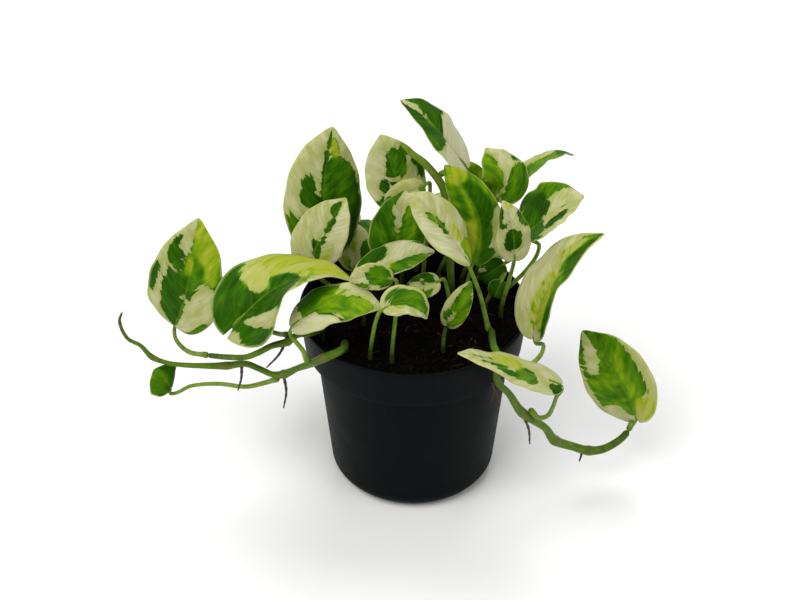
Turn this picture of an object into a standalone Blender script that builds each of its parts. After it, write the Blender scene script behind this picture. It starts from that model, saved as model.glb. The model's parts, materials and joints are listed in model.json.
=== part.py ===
"""Potted njoy pothos: a nursery pot full of peat with rooted vines and variegated leaves.

Every length below is in millimetres and MM turns it into metres. The origin is the middle of the
pot's underside, X runs to the viewer's right, Y away from the viewer and Z up. Leaves and vines
are placed as they are seen: so far across and above the middle of the pot's rim, on a sheet that
faces the viewer, and so far back, which is their true depth behind the pot's axis.
"""

from dataclasses import dataclass
from math import cos, radians, sin, tau

import bpy
import numpy as np

MM = 0.001
CLEARANCE = 0.3

POT_HEIGHT = 105.0
RIM_RADIUS = 60.0
RIM_ROUND = 0.8
STEP_ROUND = 0.7
COLLAR_HEIGHT = 22.0
COLLAR_FOOT_RADIUS = 57.6
BODY_TOP_RADIUS = 51.8
BASE_RADIUS = 44.8
BASE_FILLET = 10.0
WALL = 1.6
FLOOR_THICKNESS = 2.4
DRAIN_COUNT = 6
DRAIN_RING = 28.0
DRAIN_RADIUS = 4.5
POT_STEPS = 36

SOIL_TOP = 100.5
SOIL_SAG = 1.2
SOIL_RINGS = 5
SOIL_SPOKES = 28
SOIL_LUMP = 0.45
HOLE_DEPTH = 9.0
HOLE_SIDES = 6
STEM_CLEARS_SOIL = (1.5, 5.0)

VIEW_TILT = radians(36.0)
EYE_DISTANCE = 900.0
EYE_LEFT = 7.0
EYE_LIFT = 3.0

BLADE_THICKNESS = 0.75
BLADE_ROWS = 9
BLADE_COLUMNS = 5
BLADE_SWELL = 0.5
BLADE_TAPER = 0.72
NECK_HALF_WIDTH = 1.2
TIP_HALF_WIDTH = 0.4
EDGE_WAVES = 2.2
EDGE_WAVE_OFFSET = 1.3
PETIOLE_RADIUS = 1.1
PETIOLE_SEAT = 0.08
PETIOLE_APPROACH = 4.0
PETIOLE_DROP = 1.6
PETIOLE_STEPS_PER_SPAN = 2
STALK_FLARE = 1.25
VINE_STEPS_PER_SPAN = 3
ROOT_RADII = (0.9, 0.4)
ROOT_BEND = 0.06

RIGHT = np.array([1.0, 0.0, 0.0])
UP = np.array([0.0, 0.0, 1.0])
SHEET_UP = np.array([0.0, sin(VIEW_TILT), cos(VIEW_TILT)])
TOWARD_VIEWER = np.array([0.0, -cos(VIEW_TILT), sin(VIEW_TILT)])
RIM_MIDDLE = POT_HEIGHT * UP
UPWARD = (0.0, 0.3, 1.0)
BACKWARD = (0.0, 0.9, 0.4)
EYE = RIM_MIDDLE + EYE_DISTANCE * TOWARD_VIEWER - EYE_LEFT * RIGHT + EYE_LIFT * UP


def seen(across, rise, back):
    """The point seen across and above the rim's middle that lies back behind the pot's axis."""
    on_sheet = RIM_MIDDLE + across * RIGHT + rise * SHEET_UP
    to_eye = EYE - on_sheet
    return on_sheet + to_eye * (back - on_sheet[1]) / to_eye[1]


def unit(vector):
    """The vector at length one."""
    return vector / np.linalg.norm(vector)


@dataclass(frozen=True)
class Leaf:
    """One leaf: where its blade begins and ends, how it is turned and bent, and what carries it.

    base, tip, foot and via are seen places. roll turns the face to the left of the midrib, in
    degrees away from the viewer, or away from face where that is given. bow and sway bend the
    midrib out of its face and sideways, and hook draws that bend toward the base. rooted is the
    petiole's place across and back in the soil; foot is its place on a vine.
    """

    base: tuple
    tip: tuple
    width: float
    roll: float = 0.0
    twist: float = 0.0
    bow: float = 0.06
    sway: float = 0.0
    hook: float = 0.0
    fold: float = 12.0
    cup: float = -18.0
    lobe: float = 0.08
    ripple: float = 0.5
    face: tuple = tuple(TOWARD_VIEWER)
    rooted: tuple = ()
    foot: tuple = ()
    via: tuple = ()
    stalk: float = PETIOLE_RADIUS


@dataclass(frozen=True)
class Vine:
    """One stem: its seen course out of the soil, its radius there, and the roots that hang off."""

    rooted: tuple
    course: tuple
    radii: tuple
    roots: tuple = ()


def blade_frame(leaf, along):
    """Midrib points at the fractions along, with the axes along, across and out of the blade."""
    start = seen(*leaf.base)
    chord = seen(*leaf.tip) - start
    length = np.linalg.norm(chord)
    forward = chord / length
    face = np.array(leaf.face)
    out = unit(face - face.dot(forward) * forward)
    side = np.cross(forward, out)
    tilt = radians(leaf.roll)
    out, side = cos(tilt) * out - sin(tilt) * side, cos(tilt) * side + sin(tilt) * out
    flat_side = np.cross(forward, unit(face - face.dot(forward) * forward))
    early = 1.0 + leaf.hook * (1.0 - 2.0 * along)
    arch = 4.0 * along * (1.0 - along) * early
    slope = 4.0 * (1.0 - 2.0 * along) * early - 8.0 * leaf.hook * along * (1.0 - along)
    bow, sway = leaf.bow * length, leaf.sway * length
    middle = start + along[:, None] * chord + arch[:, None] * (bow * out + sway * flat_side)
    heading = forward + slope[:, None] * (leaf.bow * out + leaf.sway * flat_side)
    heading /= np.linalg.norm(heading, axis=1)[:, None]
    level = out - heading * (heading @ out)[:, None]
    level /= np.linalg.norm(level, axis=1)[:, None]
    across = np.cross(heading, level)
    turn = radians(leaf.twist) * (0.5 - (1.0 - along) ** 2)
    spun_across = np.cos(turn)[:, None] * across + np.sin(turn)[:, None] * level
    spun_level = np.cos(turn)[:, None] * level - np.sin(turn)[:, None] * across
    return middle, heading, spun_across, spun_level


def half_width(leaf, along):
    """Half of the blade's width: round at the base, widest at two fifths, drawn out at the tip."""
    widest = BLADE_SWELL / (BLADE_SWELL + BLADE_TAPER)
    peak = widest**BLADE_SWELL * (1.0 - widest) ** BLADE_TAPER
    outline = along**BLADE_SWELL * (1.0 - along) ** BLADE_TAPER / peak
    ends = NECK_HALF_WIDTH * (1.0 - along) + TIP_HALF_WIDTH * along
    return 0.5 * leaf.width * outline + ends


def blade_points(leaf, along, across):
    """The blade's middle surface as rows along the midrib of points across it."""
    middle, heading, side, level = blade_frame(leaf, along)
    reach = half_width(leaf, along)[:, None]
    part = np.abs(across)[None, :]
    fold = radians(leaf.fold)
    cup = radians(leaf.cup) + 1e-6
    sideways = np.sign(across)[None, :] * reach * (np.sin(fold + cup * part) - sin(fold)) / cup
    rise = reach * (cos(fold) - np.cos(fold + cup * part)) / cup
    beat = tau * EDGE_WAVES * along[:, None] + EDGE_WAVE_OFFSET * np.sign(across)[None, :]
    rise = rise + leaf.ripple * part**2 * np.sin(beat) * np.sin(np.pi * along[:, None])
    lag = leaf.lobe * leaf.width * part**2 * (1.0 - along[:, None]) ** 4
    return (
        middle[:, None, :]
        + sideways[:, :, None] * side[:, None, :]
        + rise[:, :, None] * level[:, None, :]
        - lag[:, :, None] * heading[:, None, :]
    )


def smooth_path(places, steps):
    """A smooth run through the places, with so many steps between each pair of them."""
    places = np.array(places)
    ends = np.vstack([2 * places[0] - places[1], places, 2 * places[-1] - places[-2]])
    part = np.linspace(0.0, 1.0, steps + 1)[:-1, None]
    spans = []
    for before, start, end, after in zip(ends, ends[1:], ends[2:], ends[3:]):
        span = np.linalg.norm(end - start)
        leave, arrive = span * unit(end - before), span * unit(after - start)
        spans.append(
            (2 * part**3 - 3 * part**2 + 1) * start
            + (part**3 - 2 * part**2 + part) * leave
            + (3 * part**2 - 2 * part**3) * end
            + (part**3 - part**2) * arrive
        )
    return np.vstack([*spans, places[-1:]])


def out_of_soil(rooted):
    """Places straight up a hole in the soil, from its bottom to a little above the peat."""
    across, back = rooted
    bottom = SOIL_TOP - HOLE_DEPTH + CLEARANCE
    heights = [bottom, *(SOIL_TOP + rise for rise in STEM_CLEARS_SOIL)]
    return [np.array([across, back, height]) for height in heights]


def petiole_path(leaf):
    """The leaf stalk's course from the soil or a vine into the base of the blade."""
    middle, heading, _, level = blade_frame(leaf, np.array([0.0, PETIOLE_SEAT]))
    start = out_of_soil(leaf.rooted) if leaf.rooted else [seen(*leaf.foot)]
    via = [seen(*place) for place in leaf.via]
    under = middle[0] - PETIOLE_APPROACH * heading[0] - PETIOLE_DROP * level[0]
    return smooth_path([*start, *via, under, middle[1]], PETIOLE_STEPS_PER_SPAN)


def vine_path(vine):
    """The stem's course from the bottom of its hole to its far end."""
    course = [seen(*place) for place in vine.course]
    return smooth_path([*out_of_soil(vine.rooted), *course], VINE_STEPS_PER_SPAN)


def root_path(root):
    """The course of one root that hangs from a stem: two seen places joined by a slight bend."""
    start, end = seen(*root[0]), seen(*root[1])
    middle = 0.5 * (start + end) + ROOT_BEND * np.linalg.norm(end - start) * RIGHT
    return smooth_path([start, middle, end], 2)


def vine_paths(vine):
    """Every course that the vine's node holds."""
    return [vine_path(vine), *(root_path(root) for root in vine.roots)]


LEAVES = {
    "leaf_back_left_tall": Leaf(
        (-45, 27, 18), (-42, 93, 42), 40, roll=-15, twist=10, bow=0.0, sway=-0.05, fold=5, cup=-25,
        lobe=0.15, rooted=(-26, 14),
    ),
    "leaf_left_cream": Leaf(
        (-53, 20, 8), (-36, 56, 22), 27, roll=5, twist=30, sway=-0.05, hook=0.8, fold=10, cup=-10,
        rooted=(-32, 2),
    ),
    "leaf_left_marbled": Leaf((-31, 19, 20), (-30, 43, 34), 17, rooted=(-16, 22)),
    "leaf_back_middle": Leaf(
        (-4, 51, 20), (-17, 89, 36), 30, roll=-10, twist=20, bow=0.0, cup=-25, rooted=(-6, 26),
    ),
    "leaf_small_folded": Leaf((5, 62, 16), (-16, 53, 15), 12, rooted=(5, 20)),
    "leaf_middle_wedge": Leaf((-11, 22, 0), (-4, 60, 11), 28, rooted=(-12, 8)),
    "leaf_highest": Leaf(
        (26, 74, 23), (-6, 108, 26), 23, roll=-45, hook=-0.5, fold=15, lobe=0.2, foot=(14.5, 68.5, 24.5),
    ),
    "leaf_center_green": Leaf(
        (32, 23, -2), (17, 73, 11), 23, twist=-30, bow=0.0, sway=0.15, hook=0.4, fold=5, cup=-25,
        rooted=(26, 2),
    ),
    "leaf_center_cream": Leaf(
        (29, 22, -20), (-3, 58, -6), 25, roll=-45, twist=45, bow=0.0, sway=0.05, hook=-0.6, fold=15,
        cup=-25, lobe=0.05, foot=(39.5, -13, -20.2), via=((38, -7, -20), (35, 5, -21)),
    ),
    "leaf_back_right": Leaf(
        (45, 56, 24), (39, 83, 39), 25, roll=-15, twist=-45, bow=0.1, sway=0.15, hook=0.6, fold=5,
        cup=-15, rooted=(26, 24),
    ),
    "leaf_back_sliver": Leaf((33, 58, 33), (30, 75, 39), 13, rooted=(14, 30)),
    "leaf_right_edge_on": Leaf(
        (57, 67, 40), (84, 80, 46), 18, roll=65, twist=20, bow=0.1, fold=15, cup=-15, rooted=(34, 30),
    ),
    "leaf_right_high": Leaf(
        (62, 39, 9), (89, 58, 15), 40, roll=55, bow=0.05, fold=20, cup=-10, lobe=0.15, rooted=(47, 9),
        via=((60, 19, 9), (66, 31, 7)),
    ),
    "leaf_right_disc": Leaf(
        (53, 24, -10), (48, 55, 1), 18, roll=-20, twist=-30, bow=0.1, fold=10, cup=-15, rooted=(46, -3),
    ),
    "leaf_right_long": Leaf(
        (63, -16, -30), (99, 38, -20), 34, roll=55, twist=30, bow=0.0, sway=-0.1, hook=0.3, fold=25,
        foot=(46.4, -36, -50), via=((54, -35, -50), (62, -31, -47), (67, -26, -41), (68, -21, -36)),
    ),
    "leaf_shadow_right": Leaf((47, 21, 17), (34, 13, 14), 12, rooted=(32, 20)),
    "leaf_shadow_curled": Leaf((46, 12, 3), (42, 3, 1), 9, rooted=(38, 1)),
    "leaf_small_upright": Leaf((18, -11, -26), (30, 12, -22), 11.5, rooted=(15, -34)),
    "leaf_small_middle": Leaf((13, 12, -16), (-5, 7, -20), 11, rooted=(20, -14)),
    "leaf_front_cream": Leaf(
        (-29, 14, -14), (11, 29, -10), 22, roll=45, twist=-10, bow=0.05, fold=20, lobe=0.15,
        rooted=(-26, -12),
    ),
    "leaf_front_small": Leaf((-12, 13, -29), (-34, 12, -31), 12, sway=0.1, rooted=(-11, -42)),
    "leaf_front_pointed": Leaf(
        (-15, -2, -45), (8, -7, -46), 18, roll=40, fold=25, sway=-0.18, rooted=(-22, -40),
    ),
    "leaf_front_left": Leaf(
        (-63, -11, -39), (-16, -1, -41), 26, roll=42, fold=8, sway=-0.1, foot=(-55.6, -29.3, -42),
        via=((-58, -24, -42), (-62, -19, -39)),
    ),
    "leaf_left_big": Leaf(
        (-92, -9, -24), (-32, 14, -20), 52, roll=40, twist=90, bow=0.0, sway=-0.15, hook=-0.1, fold=15,
        cup=-15, lobe=0.2, foot=(-66, -15.8, -29), via=((-72, -15, -22), (-82, -11.5, -18)),
    ),
    "leaf_far_left": Leaf(
        (-125, -11, 0), (-113, 45, 10), 40, roll=10, twist=-10, sway=0.05, hook=0.3, fold=20,
        lobe=0.0, foot=(-108.6, -26.4, -22.6), via=((-118, -24.6, -12), (-124, -19, -5)),
    ),
    "leaf_far_left_small": Leaf(
        (-127, -44, -14), (-136, -34, -12), 19, roll=-35, twist=30, bow=0.1, fold=5, cup=-30, lobe=0.0,
        foot=(-71.5, -39, -30), via=((-78, -41, -28), (-88, -43, -26), (-102, -41.5, -22),
        (-116, -42.5, -18)),
    ),
    "leaf_front_right": Leaf(
        (75, -41, -60), (24, -24, -65), 26, roll=-60, twist=-20, bow=0.0, hook=0.5, fold=5, cup=-15,
        lobe=0.15, foot=(61.7, -55.5, -41.1), via=((65, -59, -42), (70, -58.5, -45), (73, -54, -49),
        (75, -48.5, -54)),
    ),
    "leaf_far_right": Leaf(
        (116, -57, -14), (89, -14, -4), 34, roll=20, twist=-35, bow=0.05, sway=0.05, hook=0.5, fold=20,
        cup=-30, lobe=0.2, foot=(113.2, -65, -15.4),
    ),
    "leaf_rear_left": Leaf((-40, 41, 38), (-44, 46, 68), 28, face=UPWARD, rooted=(-30, 34)),
    "leaf_rear_left_inner": Leaf((-20, 33, 36), (-22, 45, 68), 26, face=UPWARD, rooted=(-14, 36)),
    "leaf_rear_middle": Leaf((2, 44, 38), (4, 54, 72), 28, face=UPWARD, rooted=(2, 38)),
    "leaf_rear_right_inner": Leaf((24, 51, 42), (28, 59, 74), 28, face=UPWARD, rooted=(18, 38)),
    "leaf_rear_right": Leaf((44, 40, 40), (56, 45, 68), 27, face=UPWARD, rooted=(38, 34)),
    "leaf_rear_low_left": Leaf(
        (-32, 29, 64), (-38, 15, 84), 30, face=BACKWARD, rooted=(-24, 44), via=((-28, 37, 57),),
    ),
    "leaf_rear_low_middle": Leaf(
        (-2, 26, 68), (2, 4, 82), 32, face=BACKWARD, rooted=(-3, 48), via=((-2, 38, 58),),
    ),
    "leaf_rear_low_right": Leaf(
        (30, 30, 64), (38, 17, 86), 30, face=BACKWARD, rooted=(22, 46), via=((26, 37, 57),),
    ),
}

VINES = {
    "vine_left_upper": Vine(
        rooted=(-47, -23),
        course=(
            (-53.5, -15, -30),
            (-61, -16, -32),
            (-66, -19.5, -32),
            (-74, -21.5, -32),
            (-81, -25, -33),
            (-88, -27.5, -33),
            (-98, -27.5, -30),
            (-108, -26.5, -23),
        ),
        radii=(1.6, 1.6, 2.1, 1.6, 1.6, 1.5, 1.5, 1.4),
        roots=(((-67, -20, -32), (-77, -33, -30)),),
    ),
    "vine_left_lower": Vine(
        rooted=(-35, -34),
        course=(
            (-38, -24, -45),
            (-47, -28, -46),
            (-54, -31, -41),
            (-61, -33.5, -36),
            (-68, -36.5, -32),
            (-74, -36.5, -30),
            (-81, -33.5, -28),
            (-88, -31, -27),
            (-98, -32, -25),
            (-112, -32, -20),
            (-122, -31.5, -16),
            (-129, -30.5, -14),
            (-137, -27.5, -12),
            (-143, -21.5, -10),
            (-150, -17.5, -8),
            (-154, -9, -6),
            (-152.5, -3.5, -5),
        ),
        radii=(2.0, 2.2, 2.0, 1.6, 2.2, 1.6, 1.6, 1.7, 2.0, 1.5, 1.3, 1.2, 1.5, 1.1, 1.0, 0.9, 0.5),
        roots=(((-90, -32, -27), (-92, -45, -33)), ((-68, -37, -32), (-68, -54, -31))),
    ),
    "vine_right": Vine(
        rooted=(40, -24),
        course=(
            (42, -21.5, -41),
            (44, -26, -47.5),
            (44, -32, -49.5),
            (44, -40, -50),
            (50, -46.5, -47),
            (57, -56.5, -42),
            (69, -64.5, -36),
            (74, -71, -32),
            (84, -74.5, -27),
            (92, -76.5, -24),
            (100, -75.5, -20),
            (108, -71, -18),
            (113, -66, -16),
        ),
        radii=(1.8, 1.8, 1.8, 1.8, 1.8, 2.4, 2.0, 2.6, 2.3, 2.5, 2.2, 2.0, 1.8),
        roots=(((57, -57, -42), (61, -73, -40)), ((88, -76, -26), (87, -82, -25))),
    ),
    "shoot_tall": Vine(
        rooted=(20, 12),
        course=(
            (19, 32, 18),
            (18, 46, 21),
            (17, 57, 22),
            (13.5, 65, 22),
            (6, 74, 22.5),
            (-1, 79.5, 24),
            (-7, 85, 26),
        ),
        radii=(2.0, 2.0, 2.2, 2.1, 2.0, 1.7, 0.7),
    ),
}

COLLECTION_NAME = "potted_njoy_pothos"
CREAM_LEAVES = (
    "leaf_left_cream",
    "leaf_center_cream",
    "leaf_right_disc",
    "leaf_front_right",
    "leaf_right_long",
    "leaf_front_cream",
)
GREEN_LEAVES = (
    "leaf_center_green",
    "leaf_back_right",
    "leaf_back_sliver",
    "leaf_shadow_right",
    "leaf_shadow_curled",
    "leaf_left_marbled",
    "leaf_far_left_small",
)


def material(name, color, roughness):
    """A plain Principled material of one colour."""
    made = bpy.data.materials.new(name)
    made.use_nodes = True
    shader = made.node_tree.nodes["Principled BSDF"]
    shader.inputs["Base Color"].default_value = (*color, 1.0)
    shader.inputs["Roughness"].default_value = roughness
    shader.inputs["Metallic"].default_value = 0.0
    return made


def link(name, mesh, home):
    """A new object of the mesh in the collection."""
    thing = bpy.data.objects.new(name, mesh)
    home.objects.link(thing)
    return thing


def applied(thing):
    """The object's mesh with its modifiers applied."""
    bpy.context.view_layer.update()
    graph = bpy.context.evaluated_depsgraph_get()
    return bpy.data.meshes.new_from_object(thing.evaluated_get(graph), depsgraph=graph)


def bake(thing):
    """Replaces the object by a mesh object of what its modifiers or its curve make."""
    mesh = applied(thing)
    home = thing.users_collection[0]
    name = thing.name
    bpy.data.objects.remove(thing)
    return link(name, mesh, home)


def weld(thing, distance=0.00005):
    """Merges the mesh's doubled vertices and turns its faces outward."""
    bpy.ops.object.select_all(action="DESELECT")
    bpy.context.view_layer.objects.active = thing
    thing.select_set(True)
    bpy.ops.object.mode_set(mode="EDIT")
    bpy.ops.mesh.select_all(action="SELECT")
    bpy.ops.mesh.remove_doubles(threshold=distance)
    bpy.ops.mesh.normals_make_consistent(inside=False)
    bpy.ops.object.mode_set(mode="OBJECT")
    return thing


def combine(thing, others, operation):
    """Joins the other objects to the thing, or cuts them out of it, and removes them."""
    group = bpy.data.collections.new(thing.name + "_pieces")
    bpy.context.scene.collection.children.link(group)
    for other in others:
        for home in tuple(other.users_collection):
            home.objects.unlink(other)
        group.objects.link(other)
        other.hide_render = True
        other.display_type = "WIRE"
    step = thing.modifiers.new("combine", "BOOLEAN")
    step.operation = operation
    step.operand_type = "COLLECTION"
    step.collection = group
    step.solver = "MANIFOLD"
    result = bake(thing)
    for other in others:
        bpy.data.objects.remove(other)
    bpy.data.collections.remove(group)
    return result


def tube(name, path, radii, home):
    """A round stem along the path, with its own radius at each place on it."""
    curve = bpy.data.curves.new(name, "CURVE")
    curve.dimensions = "3D"
    curve.bevel_depth = MM
    curve.bevel_resolution = 1
    curve.use_fill_caps = True
    spline = curve.splines.new("POLY")
    spline.points.add(len(path) - 1)
    for point, place, radius in zip(spline.points, path, radii):
        point.co = (*(place * MM), 1.0)
        point.radius = radius
    return weld(bake(link(name, curve, home)))


def lathe(name, profile, steps, home):
    """A turned solid: the profile of radius and height swept round the pot's axis."""
    mesh = bpy.data.meshes.new(name)
    points = [(radius * MM, 0.0, height * MM) for radius, height in profile]
    mesh.from_pydata(points, [(i, i + 1) for i in range(len(points) - 1)], [])
    thing = link(name, mesh, home)
    turn = thing.modifiers.new("turn", "SCREW")
    turn.steps = steps
    turn.render_steps = steps
    turn.use_merge_vertices = True
    turn.merge_threshold = 0.00001
    return weld(bake(thing))


def arc(middle_radius, middle_height, radius, start, end, count):
    """Profile points round a corner, from one angle to another in degrees."""
    angles = np.radians(np.linspace(start, end, count))
    return [(middle_radius + radius * cos(a), middle_height + radius * sin(a)) for a in angles]


def build_pot(home, paint):
    """The thin nursery pot: tapered body, deeper collar, rounded foot and drain holes."""
    step_height = POT_HEIGHT - COLLAR_HEIGHT
    inner_fillet = BASE_FILLET - WALL
    profile = [
        *arc(RIM_RADIUS - RIM_ROUND, POT_HEIGHT - RIM_ROUND, RIM_ROUND, 90, 0, 3),
        (COLLAR_FOOT_RADIUS, step_height + STEP_ROUND),
        (COLLAR_FOOT_RADIUS - STEP_ROUND, step_height),
        (BODY_TOP_RADIUS + STEP_ROUND, step_height),
        (BODY_TOP_RADIUS, step_height - STEP_ROUND),
        *arc(BASE_RADIUS - BASE_FILLET, BASE_FILLET, BASE_FILLET, 0, -90, 5),
        (0.0, 0.0),
        (0.0, FLOOR_THICKNESS),
        *arc(
            BASE_RADIUS - BASE_FILLET,
            FLOOR_THICKNESS + inner_fillet,
            inner_fillet,
            -90,
            0,
            4,
        ),
        (BODY_TOP_RADIUS - WALL, step_height - STEP_ROUND + WALL),
        (COLLAR_FOOT_RADIUS - WALL, step_height + STEP_ROUND + WALL),
        (RIM_RADIUS - WALL, POT_HEIGHT - RIM_ROUND / 2),
        (RIM_RADIUS - WALL + RIM_ROUND / 2, POT_HEIGHT),
        (RIM_RADIUS - RIM_ROUND, POT_HEIGHT),
    ]
    pot = lathe("pot", profile, POT_STEPS, home)
    drills = []
    for turn in range(DRAIN_COUNT):
        angle = tau * (turn + 0.5) / DRAIN_COUNT
        bpy.ops.mesh.primitive_cylinder_add(
            vertices=16,
            radius=DRAIN_RADIUS * MM,
            depth=4.0 * FLOOR_THICKNESS * MM,
            location=(DRAIN_RING * cos(angle) * MM, DRAIN_RING * sin(angle) * MM, 0.0),
        )
        drills.append(bpy.context.object)
    pot = combine(pot, drills, "DIFFERENCE")
    return finish(pot, paint, 35.0)


def soil_height(across, back):
    """The peat's uneven top: a slight sag toward the rim with low lumps."""
    sag = SOIL_SAG * (across**2 + back**2) / RIM_RADIUS**2
    lumps = np.sin(0.31 * across + 1.0) * np.cos(0.27 * back)
    lumps += 0.6 * np.sin(0.19 * across - 0.43 * back)
    return SOIL_TOP - sag + SOIL_LUMP * lumps


def build_soil(home, paint):
    """The peat that fills the pot, with a plain hole for every stalk and stem."""
    step_height = POT_HEIGHT - COLLAR_HEIGHT
    inner_fillet = BASE_FILLET - WALL
    floor = FLOOR_THICKNESS + CLEARANCE
    gap = 2.0 * CLEARANCE
    edge = COLLAR_FOOT_RADIUS - WALL - gap
    rings = np.linspace(0.0, edge, SOIL_RINGS + 1)
    profile = [
        (0.0, floor),
        (BASE_RADIUS - BASE_FILLET - gap, floor),
        *arc(BASE_RADIUS - BASE_FILLET - gap, floor + inner_fillet, inner_fillet, -60, 0, 3),
        (BODY_TOP_RADIUS - WALL - gap, step_height - STEP_ROUND + WALL),
        (edge, step_height + STEP_ROUND + WALL + gap),
        *((radius, SOIL_TOP) for radius in rings[::-1]),
    ]
    soil = lathe("soil", profile, SOIL_SPOKES, home)
    for vertex in soil.data.vertices:
        if vertex.co.z > (SOIL_TOP - 0.5) * MM:
            vertex.co.z = soil_height(vertex.co.x / MM, vertex.co.y / MM) * MM
    drills = []
    for place, radius in rooted_places():
        bpy.ops.mesh.primitive_cylinder_add(
            vertices=HOLE_SIDES,
            radius=(radius + CLEARANCE) / cos(tau / (2 * HOLE_SIDES)) * MM,
            depth=2.0 * HOLE_DEPTH * MM,
            location=(place[0] * MM, place[1] * MM, SOIL_TOP * MM),
        )
        drills.append(bpy.context.object)
    soil = combine(soil, drills, "DIFFERENCE")
    return finish(soil, paint, 60.0)


def rooted_places():
    """Where each stalk and stem stands in the soil, with its radius there."""
    stalks = [(leaf.rooted, leaf.stalk * STALK_FLARE) for leaf in LEAVES.values() if leaf.rooted]
    stems = [(vine.rooted, vine.radii[0]) for vine in VINES.values()]
    return stalks + stems


def finish(thing, paint, sharp_degrees):
    """Gives the object its material and smooth shading with sharp edges past the angle."""
    thing.data.materials.clear()
    thing.data.materials.append(paint)
    thing.data.shade_smooth()
    thing.data.set_sharp_from_angle(angle=radians(sharp_degrees))
    return thing


def build_blade(name, leaf, home):
    """The leaf's blade: a grid bent to the blade's surface, split alike on both faces."""
    along = np.linspace(0.0, 1.0, BLADE_ROWS) ** 1.15
    across = np.linspace(-1.0, 1.0, BLADE_COLUMNS)
    surface = blade_points(leaf, along, across) * MM
    bpy.ops.mesh.primitive_grid_add(x_subdivisions=BLADE_COLUMNS - 1, y_subdivisions=BLADE_ROWS - 1)
    blade = bpy.context.object
    blade.name = name
    blade.data.vertices.foreach_set("co", surface.reshape(-1))
    for old_home in tuple(blade.users_collection):
        old_home.objects.unlink(blade)
    home.objects.link(blade)
    split = blade.modifiers.new("split", "TRIANGULATE")
    split.quad_method = "FIXED"
    shell = blade.modifiers.new("shell", "SOLIDIFY")
    shell.thickness = BLADE_THICKNESS * MM
    shell.offset = 0.0
    return weld(bake(blade), 0.00001)


def build_leaf(name, leaf, home, paint):
    """One leaf: its blade with its stalk joined on."""
    blade = build_blade(name, leaf, home)
    path = petiole_path(leaf)
    radii = np.full(len(path), leaf.stalk)
    radii[: len(path) // 2] *= np.linspace(STALK_FLARE, 1.0, len(path) // 2)
    radii[:4] = leaf.stalk * STALK_FLARE
    radii[-2:] = 0.8 * leaf.stalk
    stalk = tube(name + "_stalk", path, radii, home)
    return finish(combine(blade, [stalk], "UNION"), paint, 60.0)


def build_vine(name, vine, home, paint):
    """One stem, swollen at its joints, with its hanging roots joined on."""
    path = vine_path(vine)
    knots = np.concatenate([np.full(3, vine.radii[0]), vine.radii])
    marks = np.linspace(0.0, 1.0, len(knots))
    radii = np.interp(np.linspace(0.0, 1.0, len(path)), marks, knots)
    stem = tube(name, path, radii, home)
    roots = []
    for number, root in enumerate(vine.roots):
        course = root_path(root)
        thins = np.linspace(*ROOT_RADII, len(course))
        roots.append(tube(f"{name}_root_{number}", course, thins, home))
    if roots:
        stem = combine(stem, roots, "UNION")
    return finish(stem, paint, 60.0)


def main():
    """Clears the scene and builds the pot, the soil, the vines and the leaves."""
    for old in tuple(bpy.data.objects):
        bpy.data.objects.remove(old)
    home = bpy.data.collections.new(COLLECTION_NAME)
    bpy.context.scene.collection.children.link(home)
    build_pot(home, material("pot_black", (0.012, 0.014, 0.014), 0.55))
    build_soil(home, material("peat", (0.02, 0.014, 0.01), 0.95))
    vine_green = material("vine_green", (0.16, 0.25, 0.04), 0.5)
    for name, vine in VINES.items():
        build_vine(name, vine, home, vine_green)
    cream = material("leaf_cream", (0.66, 0.66, 0.42), 0.45)
    green = material("leaf_green", (0.1, 0.26, 0.02), 0.4)
    mixed = material("leaf_mixed", (0.3, 0.42, 0.14), 0.42)
    for name, leaf in LEAVES.items():
        paint = cream if name in CREAM_LEAVES else green if name in GREEN_LEAVES else mixed
        build_leaf(name, leaf, home, paint)


main()
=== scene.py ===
"""Looks of the potted variegated pothos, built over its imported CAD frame.

Lengths in the tables are in millimetres and MM turns them into metres. The origin is the middle of
the pot's underside, X runs to the viewer's right, Y away from the viewer and Z up. Leaves and vines
are placed as they are seen: so far across and above the middle of the pot's rim, on a sheet that
faces the viewer, and so far back, which is their true depth behind the pot's axis.
"""

import json
import logging
from dataclasses import dataclass, field
from enum import Enum
from functools import reduce
from math import cos, pi, radians, sin, tau
from typing import Sequence

import bpy
import numpy as np
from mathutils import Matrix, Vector


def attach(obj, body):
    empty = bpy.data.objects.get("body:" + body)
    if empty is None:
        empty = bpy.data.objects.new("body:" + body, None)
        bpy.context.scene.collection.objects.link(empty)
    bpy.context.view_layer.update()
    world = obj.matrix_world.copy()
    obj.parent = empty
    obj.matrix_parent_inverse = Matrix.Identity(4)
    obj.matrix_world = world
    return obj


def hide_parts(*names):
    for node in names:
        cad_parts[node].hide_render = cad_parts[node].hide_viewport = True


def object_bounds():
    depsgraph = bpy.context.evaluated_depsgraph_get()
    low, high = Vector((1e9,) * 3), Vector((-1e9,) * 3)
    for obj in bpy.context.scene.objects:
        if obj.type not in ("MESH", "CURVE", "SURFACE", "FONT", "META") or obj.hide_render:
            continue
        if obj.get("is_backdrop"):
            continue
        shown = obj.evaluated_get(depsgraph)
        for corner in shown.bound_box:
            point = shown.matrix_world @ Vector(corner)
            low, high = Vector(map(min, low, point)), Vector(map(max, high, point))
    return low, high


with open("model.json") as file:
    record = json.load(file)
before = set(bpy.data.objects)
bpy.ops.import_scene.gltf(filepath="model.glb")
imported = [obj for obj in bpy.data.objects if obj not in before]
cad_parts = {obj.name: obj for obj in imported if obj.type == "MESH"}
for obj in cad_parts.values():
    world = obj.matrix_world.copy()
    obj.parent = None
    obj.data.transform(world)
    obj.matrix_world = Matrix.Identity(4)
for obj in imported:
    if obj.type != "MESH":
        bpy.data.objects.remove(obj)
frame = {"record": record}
CAD_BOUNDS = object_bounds()
LOG = logging.getLogger("pothos")
Array = np.ndarray
Place = tuple[float, float, float]
Color = tuple[float, float, float]
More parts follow.
